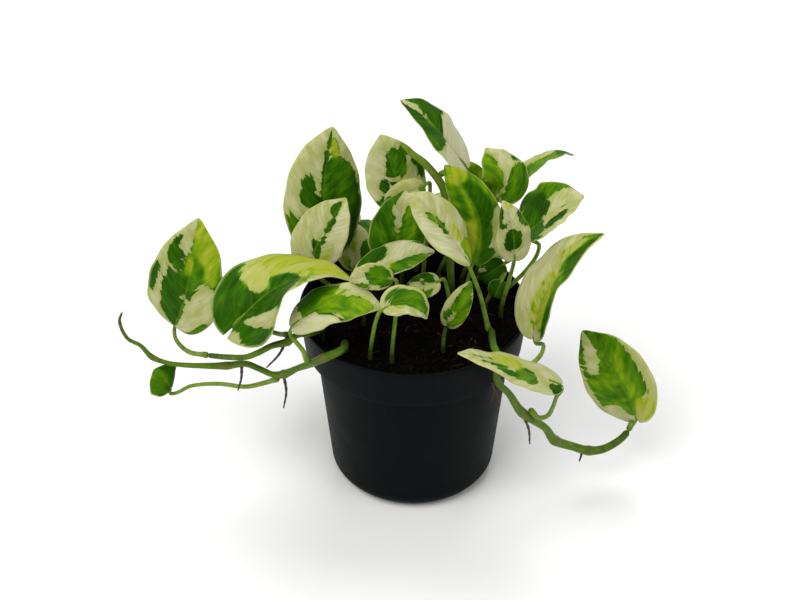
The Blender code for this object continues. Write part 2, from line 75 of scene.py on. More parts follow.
Socket = bpy.types.NodeSocket
Value = float | tuple | Socket

MM = 0.001
CLEARANCE = 0.3

POT_HEIGHT = 105.0
RIM_RADIUS = 60.0
RIM_ROUND = 0.8
STEP_ROUND = 0.7
COLLAR_HEIGHT = 22.0
COLLAR_FOOT_RADIUS = 57.6
BODY_TOP_RADIUS = 51.8
BASE_RADIUS = 44.8
BASE_FILLET = 10.0
STEP_HEIGHT = POT_HEIGHT - COLLAR_HEIGHT
WALL = 1.6
FLOOR_THICKNESS = 2.4
DRAIN_COUNT = 6
DRAIN_RING = 28.0
DRAIN_RADIUS = 4.5
# Surfaces turned round the pot's axis stop this near it, and a fan closes them
MIDDLE_RADIUS = 2.0

SOIL_TOP = 100.5
SOIL_SAG = 1.2
SOIL_LUMP = 0.45
HOLE_DEPTH = 9.0
STEM_CLEARS_SOIL = (1.5, 5.0)

VIEW_TILT = radians(36.0)
EYE_DISTANCE = 900.0
EYE_LEFT = 7.0
EYE_LIFT = 3.0
LENS = 77.4
SENSOR = 36.0

BLADE_THICKNESS = 0.75
RIM_THICKNESS = 0.3
BLADE_SWELL = 0.5
BLADE_TAPER = 0.72
NECK_HALF_WIDTH = 1.2
TIP_HALF_WIDTH = 0.4
EDGE_WAVES = 2.2
EDGE_WAVE_OFFSET = 1.3
PETIOLE_RADIUS = 1.1
PETIOLE_SEAT = 0.08
PETIOLE_APPROACH = 4.0
PETIOLE_DROP = 1.6
# A cup angle of 0 would be divided by, so each has this much more
NEARLY_FLAT = 1e-6
# How thick a stalk and its sheath are at parts of the way from the foot, in stalk radii
STALK_SHAPE = ((0.0, 1.25), (0.25, 1.15), (0.55, 1.0), (0.92, 0.85), (1.0, 0.7))
SHEATH_SHAPE = ((0.0, 0.9), (0.15, 1.55), (0.5, 1.5), (1.0, 1.2))
SHEATH_LENGTH = 5.5
SHEATH_SINK = 1.1
# How scarred a sheath is at its foot and at its end
SHEATH_SCARS = (0.6, 0.2)
ROOT_RADII = (0.9, 0.4)
ROOT_BEND = 0.06
THREAD_GIRTH = 0.4
# Stalks and stems get painted shade, darkening toward the peat, up to this height above it, and less and
# less past the rim
SHADE_HEIGHT = 22.0
SHADE_RIM_ENDS = (RIM_RADIUS - 7.0, RIM_RADIUS + 2.0)

# The cream ground of a blade: how far outside green it counts as, and its tone
DEEP_IN_CREAM = -7.0
GROUND_TONE = 0.25
# What sets each leaf's and each stem's grain apart
LEAF_SEED_STEP = 11.0
VINE_SEED = 40.0
VINE_SEED_STEP = 7.0
# Which of its object's materials a stalk, a root and a thread have
STALK_PAINT = 1
ROOT_PAINT = 1
THREAD_PAINT = 2

WHITE = (1.0, 1.0, 1.0)
# How finely a noise is broken up
PLAIN = 3.0
FINE = 4.0
FINEST = 5.0
NOISE_ROUGHNESS = 0.55
BUMP_STRENGTH = 0.8
# The numbers of a colour mix node's two colours and of its result
MIX_COLORS = (6, 7)
MIX_RESULT = 2

RIGHT = np.array([1.0, 0.0, 0.0])
UP = np.array([0.0, 0.0, 1.0])
SHEET_UP = np.array([0.0, sin(VIEW_TILT), cos(VIEW_TILT)])
TOWARD_VIEWER = np.array([0.0, -cos(VIEW_TILT), sin(VIEW_TILT)])
RIM_MIDDLE = POT_HEIGHT * UP
UPWARD = (0.0, 0.3, 1.0)
BACKWARD = (0.0, 0.9, 0.4)
EYE = RIM_MIDDLE + EYE_DISTANCE * TOWARD_VIEWER - EYE_LEFT * RIGHT + EYE_LIFT * UP


class Tissue(Enum):
    """What a patch on a blade is made of."""

    GREEN = "green"
    CREAM = "cream"
    SPECKLED = "speckled"


@dataclass(frozen=True)
class Patch:
    """One patch of colour on a blade: an oval in fractions of the blade's length and half width.

    tone goes from 0, dark green, to 1, bright yellow green, and below 0, down to -1, it whitens
    cream with a painted highlight for top light on upward-facing cream. lean moves the oval's
    middle across by so much for each blade length that it runs toward the tip.
    """

    tissue: Tissue
    along: float
    across: float
    length: float
    breadth: float
    tone: float = 0.4
    lean: float = 0.0


def green(*sizes: float, tone: float = 0.4, lean: float = 0.0) -> Patch:
    """A green patch: along, across, half length and half breadth."""
    return Patch(Tissue.GREEN, *sizes, tone=tone, lean=lean)


def cream(*sizes: float, tone: float = 0.2, lean: float = 0.0) -> Patch:
    """A cream patch: along, across, half length and half breadth."""
    return Patch(Tissue.CREAM, *sizes, tone=tone, lean=lean)


def speckled(*sizes: float, tone: float = 0.9, lean: float = 0.0) -> Patch:
    """A patch where green flecks lie in the cream: along, across, half length and half breadth."""
    return Patch(Tissue.SPECKLED, *sizes, tone=tone, lean=lean)


@dataclass(frozen=True)
class Leaf:
    """One leaf: where its blade begins and ends, how it is turned and bent, and what carries it.

    base, tip, foot and via are seen places. roll turns the face to the left of the midrib, in
    degrees away from the viewer, or away from face where that is given. bow and sway bend the
    midrib out of its face and sideways, and hook draws that bend toward the base. rooted is the
    petiole's place across and back in the soil; foot is its place on a vine.
    """

    base: Place
    tip: Place
    width: float
    roll: float = 0.0
    twist: float = 0.0
    bow: float = 0.06
    sway: float = 0.0
    hook: float = 0.0
    fold: float = 12.0
    cup: float = -18.0
    lobe: float = 0.08
    ripple: float = 0.5
    face: Place = tuple(TOWARD_VIEWER)
    rooted: tuple = ()
    foot: tuple = ()
    via: tuple = ()
    stalk: float = PETIOLE_RADIUS


@dataclass(frozen=True)
class Vine:
    """One stem: its seen course out of the soil, its radius there, and the roots that hang off."""

    rooted: tuple
    course: tuple
    radii: tuple
    roots: tuple = ()


LEAVES: dict[str, Leaf] = {
    "leaf_back_left_tall": Leaf(
        (-45, 27, 18), (-42, 93, 42), 40, roll=-15, twist=10, bow=0.0, sway=-0.05, fold=5, cup=-25,
        lobe=0.15, rooted=(-26, 14),
    ),
    "leaf_left_cream": Leaf(
        (-53, 20, 8), (-36, 56, 22), 27, roll=5, twist=30, sway=-0.05, hook=0.8, fold=10, cup=-10,
        rooted=(-32, 2),
    ),
    "leaf_left_marbled": Leaf((-31, 19, 20), (-30, 43, 34), 17, rooted=(-16, 22)),
    "leaf_back_middle": Leaf(
        (-4, 51, 20), (-17, 89, 36), 30, roll=-10, twist=20, bow=0.0, cup=-25, rooted=(-6, 26),
    ),
    "leaf_small_folded": Leaf((5, 62, 16), (-16, 53, 15), 12, rooted=(5, 20)),
    "leaf_middle_wedge": Leaf((-11, 22, 0), (-4, 60, 11), 28, rooted=(-12, 8)),
    "leaf_highest": Leaf(
        (26, 74, 23), (-6, 108, 26), 23, roll=-45, hook=-0.5, fold=15, lobe=0.2,
        foot=(14.5, 68.5, 24.5),
    ),
    "leaf_center_green": Leaf(
        (32, 23, -2), (17, 73, 11), 23, twist=-30, bow=0.0, sway=0.15, hook=0.4, fold=5, cup=-25,
        rooted=(26, 2),
    ),
    "leaf_center_cream": Leaf(
        (29, 22, -20), (-3, 58, -6), 25, roll=-45, twist=45, bow=0.0, sway=0.05, hook=-0.6, fold=15,
        cup=-25, lobe=0.05, foot=(39.5, -13, -20.2), via=((38, -7, -20), (35, 5, -21)),
    ),
    "leaf_back_right": Leaf(
        (45, 56, 24), (39, 83, 39), 25, roll=-15, twist=-45, bow=0.1, sway=0.15, hook=0.6, fold=5,
        cup=-15, rooted=(26, 24),
    ),
    "leaf_back_sliver": Leaf((33, 58, 33), (30, 75, 39), 13, rooted=(14, 30)),
    "leaf_right_edge_on": Leaf(
        (57, 67, 40), (84, 80, 46), 18, roll=65, twist=20, bow=0.1, fold=15, cup=-15, rooted=(34, 30),
    ),
    "leaf_right_high": Leaf(
        (62, 39, 9), (89, 58, 15), 40, roll=55, bow=0.05, fold=20, cup=-10, lobe=0.15, rooted=(47, 9),
        via=((60, 19, 9), (66, 31, 7)),
    ),
    "leaf_right_disc": Leaf(
        (53, 24, -10), (48, 55, 1), 18, roll=-20, twist=-30, bow=0.1, fold=10, cup=-15,
        rooted=(46, -3),
    ),
    "leaf_right_long": Leaf(
        (63, -16, -30), (99, 38, -20), 34, roll=55, twist=30, bow=0.0, sway=-0.1, hook=0.3, fold=25,
        foot=(46.4, -36, -50), via=((54, -35, -50), (62, -31, -47), (67, -26, -41), (68, -21, -36)),
    ),
    "leaf_shadow_right": Leaf((47, 21, 17), (34, 13, 14), 12, rooted=(32, 20)),
    "leaf_shadow_curled": Leaf((46, 12, 3), (42, 3, 1), 9, rooted=(38, 1)),
    "leaf_small_upright": Leaf((18, -11, -26), (30, 12, -22), 11.5, rooted=(15, -34)),
    "leaf_small_middle": Leaf((13, 12, -16), (-5, 7, -20), 11, rooted=(20, -14)),
    "leaf_front_cream": Leaf(
        (-29, 14, -14), (11, 29, -10), 22, roll=45, twist=-10, bow=0.05, fold=20, lobe=0.15,
        rooted=(-26, -12),
    ),
    "leaf_front_small": Leaf((-12, 13, -29), (-34, 12, -31), 12, sway=0.1, rooted=(-11, -42)),
    "leaf_front_pointed": Leaf(
        (-15, -2, -45), (8, -7, -46), 18, roll=40, fold=25, sway=-0.18, rooted=(-22, -40),
    ),
    "leaf_front_left": Leaf(
        (-63, -11, -39), (-16, -1, -41), 26, roll=42, fold=8, sway=-0.1, foot=(-55.6, -29.3, -42),
        via=((-58, -24, -42), (-62, -19, -39)),
    ),
    "leaf_left_big": Leaf(
        (-92, -9, -24), (-32, 14, -20), 52, roll=40, twist=90, bow=0.0, sway=-0.15, hook=-0.1, fold=15,
        cup=-15, lobe=0.2, foot=(-66, -15.8, -29), via=((-72, -15, -22), (-82, -11.5, -18)),
    ),
    "leaf_far_left": Leaf(
        (-125, -11, 0), (-113, 45, 10), 40, roll=10, twist=-10, sway=0.05, hook=0.3, fold=20,
        lobe=0.0, foot=(-108.6, -26.4, -22.6), via=((-118, -24.6, -12), (-124, -19, -5)),
    ),
    "leaf_far_left_small": Leaf(
        (-127, -44, -14), (-136, -34, -12), 19, roll=-35, twist=30, bow=0.1, fold=5, cup=-30, lobe=0.0,
        foot=(-71.5, -39, -30), via=((-78, -41, -28), (-88, -43, -26), (-102, -41.5, -22),
        (-116, -42.5, -18)),
    ),
    "leaf_front_right": Leaf(
        (75, -41, -60), (24, -24, -65), 26, roll=-60, twist=-20, bow=0.0, hook=0.5, fold=5, cup=-15,
        lobe=0.15, foot=(61.7, -55.5, -41.1), via=((65, -59, -42), (70, -58.5, -45), (73, -54, -49),
        (75, -48.5, -54)),
    ),
    "leaf_far_right": Leaf(
        (116, -57, -14), (89, -14, -4), 34, roll=20, twist=-35, bow=0.05, sway=0.05, hook=0.5, fold=20,
        cup=-30, lobe=0.2, foot=(113.2, -65, -15.4),
    ),
    "leaf_rear_left": Leaf((-40, 41, 38), (-44, 46, 68), 28, face=UPWARD, rooted=(-30, 34)),
    "leaf_rear_left_inner": Leaf((-20, 33, 36), (-22, 45, 68), 26, face=UPWARD, rooted=(-14, 36)),
    "leaf_rear_middle": Leaf((2, 44, 38), (4, 54, 72), 28, face=UPWARD, rooted=(2, 38)),
    "leaf_rear_right_inner": Leaf((24, 51, 42), (28, 59, 74), 28, face=UPWARD, rooted=(18, 38)),
    "leaf_rear_right": Leaf((44, 40, 40), (56, 45, 68), 27, face=UPWARD, rooted=(38, 34)),
    "leaf_rear_low_left": Leaf(
        (-32, 29, 64), (-38, 15, 84), 30, face=BACKWARD, rooted=(-24, 44), via=((-28, 37, 57),),
    ),
    "leaf_rear_low_middle": Leaf(
        (-2, 26, 68), (2, 4, 82), 32, face=BACKWARD, rooted=(-3, 48), via=((-2, 38, 58),),
    ),
    "leaf_rear_low_right": Leaf(
        (30, 30, 64), (38, 17, 86), 30, face=BACKWARD, rooted=(22, 46), via=((26, 37, 57),),
    ),
}

VINES: dict[str, Vine] = {
    "vine_left_upper": Vine(
        rooted=(-47, -23), course=((-53.5, -15, -30), (-61, -16, -32), (-66, -19.5, -32),
        (-74, -21.5, -32), (-81, -25, -33), (-88, -27.5, -33), (-98, -27.5, -30), (-108, -26.5, -23)),
        radii=(1.6, 1.6, 2.1, 1.6, 1.6, 1.5, 1.5, 1.4), roots=(((-67, -20, -32), (-77, -33, -30)),),
    ),
    "vine_left_lower": Vine(
        rooted=(-35, -34), course=((-38, -24, -45), (-47, -28, -46), (-54, -31, -41),
        (-61, -33.5, -36), (-68, -36.5, -32), (-74, -36.5, -30), (-81, -33.5, -28), (-88, -31, -27),
        (-98, -32, -25), (-112, -32, -20), (-122, -31.5, -16), (-129, -30.5, -14), (-137, -27.5, -12),
        (-143, -21.5, -10), (-150, -17.5, -8), (-154, -9, -6), (-152.5, -3.5, -5)),
        radii=(2.0, 2.2, 2.0, 1.6, 2.2, 1.6, 1.6, 1.7, 2.0, 1.5, 1.3, 1.2, 1.5, 1.1, 1.0, 0.9, 0.5),
        roots=(((-90, -32, -27), (-92, -45, -33)), ((-68, -37, -32), (-68, -54, -31))),
    ),
    "vine_right": Vine(
        rooted=(40, -24), course=((42, -21.5, -41), (44, -26, -47.5), (44, -32, -49.5),
        (44, -40, -50), (50, -46.5, -47), (57, -56.5, -42), (69, -64.5, -36), (74, -71, -32),
        (84, -74.5, -27), (92, -76.5, -24), (100, -75.5, -20), (108, -71, -18), (113, -66, -16)),
        radii=(1.8, 1.8, 1.8, 1.8, 1.8, 2.4, 2.0, 2.6, 2.3, 2.5, 2.2, 2.0, 1.8),
        roots=(((57, -57, -42), (61, -73, -40)), ((88, -76, -26), (87, -82, -25))),
    ),
    "shoot_tall": Vine(
        rooted=(20, 12), course=((19, 32, 18), (18, 46, 21), (17, 57, 22), (13.5, 65, 22),
        (6, 74, 22.5), (-1, 79.5, 24), (-7, 85, 26)), radii=(2.0, 2.0, 2.2, 2.1, 2.0, 1.7, 0.7),
    ),
}

# Threads too thin for the solids, which hang beside a stem: the seen places of each one's ends
THREADS: dict[str, tuple] = {
    "vine_right": (((41, -41, -52), (45, -56, -51)), ((42, -41, -52), (41, -51, -52))),
}

# A cream patch with a tone below 0 is whitened by a painted highlight
PATTERNS: dict[str, tuple[Patch, ...]] = {
    "leaf_back_left_tall": (
        green(0.62, 0.4, 0.16, 0.5, tone=0.36), green(0.45, 0.42, 0.24, 0.52, tone=0.33),
        green(0.5, -0.42, 0.12, 0.2, tone=0.15), green(0.41, -0.2, 0.08, 0.22, tone=0.15, lean=-1.0),
        green(0.75, -0.02, 0.14, 0.09, tone=0.15), green(0.9, -0.02, 0.1, 0.12, tone=0.2),
        green(0.85, 0.28, 0.07, 0.2, tone=0.9), green(0.3, 0.9, 0.26, 0.16, tone=0.15),
        green(0.13, -0.85, 0.2, 0.3, tone=0.3),
    ),
    "leaf_left_cream": (
        cream(0.5, 0.6, 0.5, 0.5, tone=-0.4),
        green(0.83, -0.12, 0.11, 0.28, tone=0.1, lean=-0.6), green(0.62, 0.1, 0.2, 0.12, tone=0.1),
        green(0.4, 0.14, 0.14, 0.07, tone=0.15), green(0.24, 0.08, 0.13, 0.2, tone=0.2, lean=-0.8),
        speckled(0.24, 0.48, 0.14, 0.2), green(0.03, 0.0, 0.04, 0.5, tone=0.8),
    ),
    "leaf_left_marbled": (
        speckled(0.55, -0.1, 0.22, 0.3), green(0.9, -0.4, 0.14, 0.4, tone=0.2),
        green(0.3, 0.75, 0.3, 0.4, tone=0.25), green(0.48, -0.1, 0.12, 0.12, tone=0.6),
        speckled(0.15, -0.6, 0.2, 0.4, tone=0.7),
    ),
    "leaf_back_middle": (
        cream(0.5, -0.6, 0.5, 0.6, tone=-0.25),
        green(0.6, 0.18, 0.2, 0.4, tone=0.3, lean=0.7), green(0.72, 0.85, 0.08, 0.3, tone=0.4),
        green(0.35, -0.45, 0.09, 0.17, tone=0.15), green(0.25, -0.1, 0.14, 0.14, tone=0.4),
        green(0.18, -0.65, 0.06, 0.35, tone=0.4), green(0.45, 0.88, 0.14, 0.16, tone=0.2),
        green(0.1, 0.5, 0.12, 0.4, tone=0.3),
    ),
    "leaf_small_folded": (
        green(0.85, -0.1, 0.22, 0.7, tone=0.4), green(0.5, -0.8, 0.16, 0.4, tone=0.3),
        cream(0.4, 0.5, 0.3, 0.6, tone=0.6), green(0.04, -0.2, 0.1, 0.5, tone=0.5),
    ),
    "leaf_middle_wedge": (
        green(0.4, 0.0, 0.62, 1.6, tone=0.32), green(0.6, 0.4, 0.22, 0.24, tone=0.6),
        cream(0.84, -0.1, 0.2, 0.34), cream(0.62, -0.06, 0.16, 0.12, tone=0.5),
        cream(0.93, 0.3, 0.12, 0.6), green(0.9, -0.8, 0.14, 0.3, tone=0.3),
    ),
    "leaf_highest": (
        green(0.64, 0.1, 0.3, 1.5, tone=0.2), green(0.66, -0.1, 0.12, 0.16, tone=0.7),
        cream(0.93, 0.1, 0.12, 0.55), cream(0.8, -0.05, 0.1, 0.2),
        green(0.84, 0.75, 0.13, 0.45, tone=0.2), green(0.85, -0.85, 0.2, 0.3, tone=0.15),
        cream(0.24, 0.65, 0.3, 0.8, tone=-0.55, lean=0.8), cream(0.08, 0.0, 0.24, 1.5, tone=-0.55),
    ),
    "leaf_center_green": (
        green(0.5, 0.0, 0.6, 1.7, tone=0.6), green(0.44, 0.36, 0.34, 0.4, tone=0.2),
        green(0.22, -0.5, 0.2, 0.3, tone=0.95), green(0.9, 0.2, 0.12, 0.8, tone=0.9),
        green(0.62, -0.4, 0.18, 0.16, tone=0.35), cream(0.26, 0.86, 0.18, 0.34),
        green(0.08, 0.6, 0.06, 0.4, tone=0.3),
    ),
    "leaf_center_cream": (
        cream(0.4, -0.4, 0.4, 0.6, tone=-0.4), green(0.64, -0.2, 0.1, 0.17, tone=0.45, lean=-1.0),
        green(0.52, -0.04, 0.12, 0.14, tone=0.45), speckled(0.34, 0.32, 0.12, 0.24),
        green(0.12, 0.6, 0.12, 0.42, tone=0.75),
    ),
    "leaf_back_right": (
        green(0.42, -0.62, 0.5, 0.55, tone=0.62), green(0.26, 0.6, 0.26, 0.5, tone=0.45, lean=0.6),
        green(0.72, -0.25, 0.12, 0.14, tone=0.4), green(0.6, 0.85, 0.05, 0.14, tone=0.3),
    ),
    "leaf_back_sliver": (green(0.5, 0.0, 0.7, 2.0, tone=0.72),),
    "leaf_right_edge_on": (
        green(0.5, 0.0, 0.6, 1.8, tone=0.5), green(0.85, 0.0, 0.14, 1.5, tone=0.2),
        cream(0.4, -0.7, 0.3, 0.4),
    ),
    "leaf_right_high": (
        green(0.5, -0.78, 0.42, 0.36, tone=0.5, lean=-0.5), green(0.27, -0.45, 0.22, 0.4, tone=0.12),
        green(0.1, 0.05, 0.16, 1.0, tone=0.3), green(0.48, 0.6, 0.2, 0.18, tone=0.08),
        speckled(0.62, 0.15, 0.09, 0.14, tone=0.6), cream(0.42, 0.18, 0.12, 0.2, tone=0.8),
    ),
    "leaf_right_disc": (
        cream(0.5, 0.0, 0.6, 1.5, tone=-0.25),
        green(0.33, -0.05, 0.17, 0.56, tone=0.05), green(0.65, 0.85, 0.13, 0.32, tone=0.35),
        green(0.62, -0.5, 0.03, 0.3, tone=0.3), green(0.75, -0.95, 0.15, 0.3, tone=0.2),
        speckled(0.92, 0.4, 0.08, 0.6),
    ),
    "leaf_right_long": (
        green(0.7, 0.4, 0.26, 0.62, tone=0.2, lean=-0.5), green(0.34, 0.45, 0.26, 0.5, tone=0.95),
        speckled(0.3, -0.15, 0.28, 0.2), green(0.92, -0.3, 0.08, 0.4, tone=0.35),
        green(0.36, 0.9, 0.3, 0.26, tone=0.25),
        speckled(0.75, -0.35, 0.16, 0.2, tone=0.8), green(0.5, 0.75, 0.1, 0.4, tone=0.5),
    ),
    "leaf_shadow_right": (green(0.5, 0.0, 0.7, 2.0, tone=0.15), cream(0.65, 0.6, 0.12, 0.2, lean=1.5)),
    "leaf_shadow_curled": (green(0.5, 0.0, 0.7, 2.0, tone=0.12),),
    "leaf_small_upright": (
        green(0.5, 0.3, 0.6, 0.75, tone=0.5), cream(0.65, -0.85, 0.25, 0.48),
        cream(0.15, -0.1, 0.14, 0.24), green(0.22, -0.5, 0.1, 0.25, tone=0.4),
    ),
    "leaf_small_middle": (
        green(0.6, -0.75, 0.4, 0.45, tone=0.5), green(0.28, 0.42, 0.16, 0.36, tone=0.3),
        green(0.5, 0.85, 0.35, 0.25, tone=0.2),
    ),
    "leaf_front_cream": (
        cream(0.6, -0.4, 0.5, 0.6, tone=-0.35),
        green(0.26, -0.66, 0.2, 0.42, tone=0.15), green(0.3, 0.4, 0.13, 0.4, tone=0.3),
        green(0.62, 0.45, 0.24, 0.32, tone=0.4), green(0.8, 0.7, 0.14, 0.3, tone=0.6),
        green(0.5, 0.85, 0.16, 0.2, tone=0.25), green(0.1, 0.9, 0.08, 0.25, tone=0.3),
        speckled(0.45, 0.12, 0.1, 0.12), green(0.85, -0.95, 0.06, 0.14, tone=0.2),
    ),
    "leaf_front_small": (
        green(0.3, 0.1, 0.26, 0.7, tone=0.42), green(0.12, -0.4, 0.2, 0.4, tone=0.3),
        green(0.75, -0.8, 0.16, 0.25, tone=0.35),
    ),
    "leaf_front_pointed": (
        green(0.5, -0.15, 0.42, 0.5, tone=0.5), green(0.5, -0.5, 0.3, 0.3, tone=0.4),
        green(0.8, 0.1, 0.12, 0.3, tone=0.7), speckled(0.3, 0.45, 0.14, 0.2, tone=0.8),
    ),
    "leaf_front_left": (
        green(0.3, -0.42, 0.28, 0.55, tone=0.3), green(0.72, 0.4, 0.2, 0.7, tone=0.7),
        green(0.5, 0.1, 0.2, 0.5, tone=0.5), cream(0.03, -0.1, 0.1, 1.2),
        cream(0.34, 0.6, 0.26, 0.22, tone=-0.45, lean=1.0), cream(0.16, 0.75, 0.2, 0.4, tone=-0.45),
        cream(0.8, -0.7, 0.18, 0.4, tone=0.1), speckled(0.6, -0.45, 0.1, 0.2, tone=0.8),
    ),
    "leaf_left_big": (
        speckled(0.66, -0.4, 0.4, 0.8, tone=1.0), green(0.8, -0.1, 0.14, 0.4, tone=1.0),
        green(0.4, 0.38, 0.24, 0.68, tone=0.14), green(0.14, -0.2, 0.16, 1.5, tone=0.2),
        green(0.68, 0.4, 0.05, 0.6, tone=0.7), cream(0.25, 0.64, 0.19, 0.19, lean=1.7),
        cream(0.3, -0.5, 0.08, 0.4, tone=0.8), green(0.22, 0.1, 0.12, 0.24, tone=0.2),
        green(0.55, -0.75, 0.12, 0.16, tone=1.0), green(0.72, 0.1, 0.12, 0.1, tone=0.6),
    ),
    "leaf_far_left": (
        green(0.78, 0.5, 0.3, 0.6, tone=0.78), green(0.72, -0.55, 0.13, 0.24, tone=0.15, lean=-0.8),
        green(0.3, -0.36, 0.28, 0.27, tone=0.2), green(0.14, -0.1, 0.16, 0.22, tone=0.25),
        green(0.5, 0.12, 0.18, 0.36, tone=0.35), green(0.62, -0.06, 0.1, 0.12, tone=0.9),
        green(0.6, -0.35, 0.06, 0.14, tone=0.2), green(0.45, -0.92, 0.15, 0.14, tone=0.15),
        green(0.5, 0.95, 0.1, 0.14, tone=0.3), green(0.12, 0.9, 0.08, 0.14, tone=0.5),
        cream(0.28, 0.5, 0.22, 0.34, lean=0.3), cream(0.85, -0.3, 0.12, 0.26),
    ),
    "leaf_far_left_small": (green(0.5, 0.0, 0.7, 2.0, tone=0.4), green(0.5, 0.6, 0.4, 0.3, tone=0.2)),
    "leaf_front_right": (
        green(0.64, -0.3, 0.12, 0.16, tone=0.35, lean=-1.2), green(0.5, -0.5, 0.14, 0.2, tone=0.3),
        green(0.33, -0.25, 0.11, 0.44, tone=0.45), green(0.8, 0.05, 0.12, 0.06, tone=0.7, lean=-0.8),
        speckled(0.5, 0.35, 0.16, 0.4, tone=1.0), green(0.05, -0.7, 0.06, 0.35, tone=0.15),
    ),
    "leaf_far_right": (
        green(0.45, 0.0, 0.5, 0.95, tone=0.6), green(0.3, -0.5, 0.24, 0.3, tone=0.5),
        green(0.4, -0.06, 0.3, 0.1, tone=0.45), cream(0.82, -0.34, 0.22, 0.32, lean=1.0),
        green(0.86, -0.95, 0.14, 0.25, tone=0.3), green(0.85, 0.45, 0.16, 0.5, tone=0.5),
        cream(0.34, 1.05, 0.34, 0.34), cream(0.4, -1.05, 0.4, 0.2), cream(0.08, -0.9, 0.16, 0.5),
        cream(0.08, 0.75, 0.14, 0.4), speckled(0.08, 0.6, 0.12, 0.4, tone=1.0),
    ),
    "leaf_rear_left": (
        green(0.6, 0.4, 0.3, 0.5, tone=0.3), green(0.35, -0.4, 0.2, 0.4, tone=0.5),
        green(0.8, -0.2, 0.12, 0.3, tone=0.6),
    ),
    "leaf_rear_left_inner": (
        green(0.5, -0.5, 0.4, 0.5, tone=0.35), green(0.3, 0.5, 0.16, 0.4, tone=0.6),
    ),
    "leaf_rear_middle": (
        green(0.5, 0.0, 0.6, 1.5, tone=0.4), cream(0.6, 0.6, 0.2, 0.4), cream(0.25, -0.6, 0.2, 0.3),
    ),
    "leaf_rear_right_inner": (
        green(0.4, 0.45, 0.3, 0.5, tone=0.55), green(0.7, -0.4, 0.18, 0.4, tone=0.3),
    ),
    "leaf_rear_right": (
        green(0.5, 0.0, 0.6, 1.5, tone=0.6), cream(0.5, -0.7, 0.3, 0.4),
        green(0.8, 0.3, 0.14, 0.4, tone=0.2),
    ),
    "leaf_rear_low_left": (
        green(0.45, 0.5, 0.35, 0.5, tone=0.3), green(0.25, -0.4, 0.16, 0.5, tone=0.5),
    ),
    "leaf_rear_low_middle": (
        green(0.6, -0.4, 0.3, 0.5, tone=0.45), green(0.3, 0.4, 0.2, 0.4, tone=0.25),
        speckled(0.75, 0.4, 0.15, 0.4),
    ),
    "leaf_rear_low_right": (
        green(0.5, 0.0, 0.6, 1.5, tone=0.5), cream(0.4, 0.6, 0.25, 0.35), cream(0.8, -0.4, 0.14, 0.3),
    ),
}


def unit(vector: Array) -> Array:
    """The vector at length one."""
    return vector / np.linalg.norm(vector)


def units(vectors: Array) -> Array:
    """Each of the vectors at length one."""
    return vectors / np.linalg.norm(vectors, axis=-1, keepdims=True)


def eased(values: Array, low: float, high: float) -> Array:
    """The values turned smoothly from 0 at low to 1 at high."""
    part = np.clip((values - low) / (high - low), 0.0, 1.0)
    return part * part * (3.0 - 2.0 * part)


def shaped(part: Array, shape: Sequence[tuple[float, float]]) -> Array:
    """The sizes at those parts of the way, straight from each of the shape's marks to the next."""
    marks, sizes = zip(*shape)
    return np.interp(part, marks, sizes)


def seen(across: float, rise: float, back: float) -> Array:
    """A point, found on the line from where it is seen to the eye.

    Args:
        across: How far to the right of the rim's middle it is seen.
        rise: How far above the rim's middle it is seen, on the sheet that faces the viewer.
        back: How far behind the pot's axis it lies.

    Returns:
        The point.
    """
    on_sheet = RIM_MIDDLE + across * RIGHT + rise * SHEET_UP
    to_eye = EYE - on_sheet
    return on_sheet + to_eye * (back - on_sheet[1]) / to_eye[1]


def smooth_path(places: Sequence[Array], steps: int) -> Array:
    """A smooth run through the places.

    Args:
        places: The points that the run goes through.
        steps: How many points it has from one place to the next.

    Returns:
        The run's points: cubic spans whose ends point along the line between their neighbours.
    """
    points = np.array(places)
    ends = np.vstack([2 * points[0] - points[1], points, 2 * points[-1] - points[-2]])
    part = np.linspace(0.0, 1.0, steps + 1)[:-1, None]
    spans = []
    for before, start, end, after in zip(ends, ends[1:], ends[2:], ends[3:]):
        span = np.linalg.norm(end - start)
        leave, arrive = span * unit(end - before), span * unit(after - start)
        spans.append(
            (2 * part**3 - 3 * part**2 + 1) * start
            + (part**3 - 2 * part**2 + part) * leave
            + (3 * part**2 - 2 * part**3) * end
            + (part**3 - part**2) * arrive
        )
    return np.vstack([*spans, points[-1:]])


def low_shading(path: Array) -> Array:
    """How much painted shade each place of a path gets: 1 at the peat, 0 well above it or past the rim.
    """
    low = np.clip(1.0 - (path[:, 2] - SOIL_TOP) / SHADE_HEIGHT, 0.0, 1.0)
    return low * (1.0 - eased(np.hypot(path[:, 0], path[:, 1]), *SHADE_RIM_ENDS))


def out_of_soil(rooted: tuple) -> list[Array]:
    """Places straight up a hole in the soil.

    Args:
        rooted: The hole's place across and back.

    Returns:
        The places, from the hole's bottom to a little above the peat.
    """
    bottom = SOIL_TOP - HOLE_DEPTH + CLEARANCE
    heights = [bottom, *(SOIL_TOP + rise for rise in STEM_CLEARS_SOIL)]
    return [np.array([*rooted, height]) for height in heights]


@dataclass
class Skin:
    """One closed skin: points in millimetres, four- and three-sided faces and values per point."""

    points: Array
    quads: Array
    tris: Array
    values: dict[str, Array] = field(default_factory=dict)
    paint: int = 0


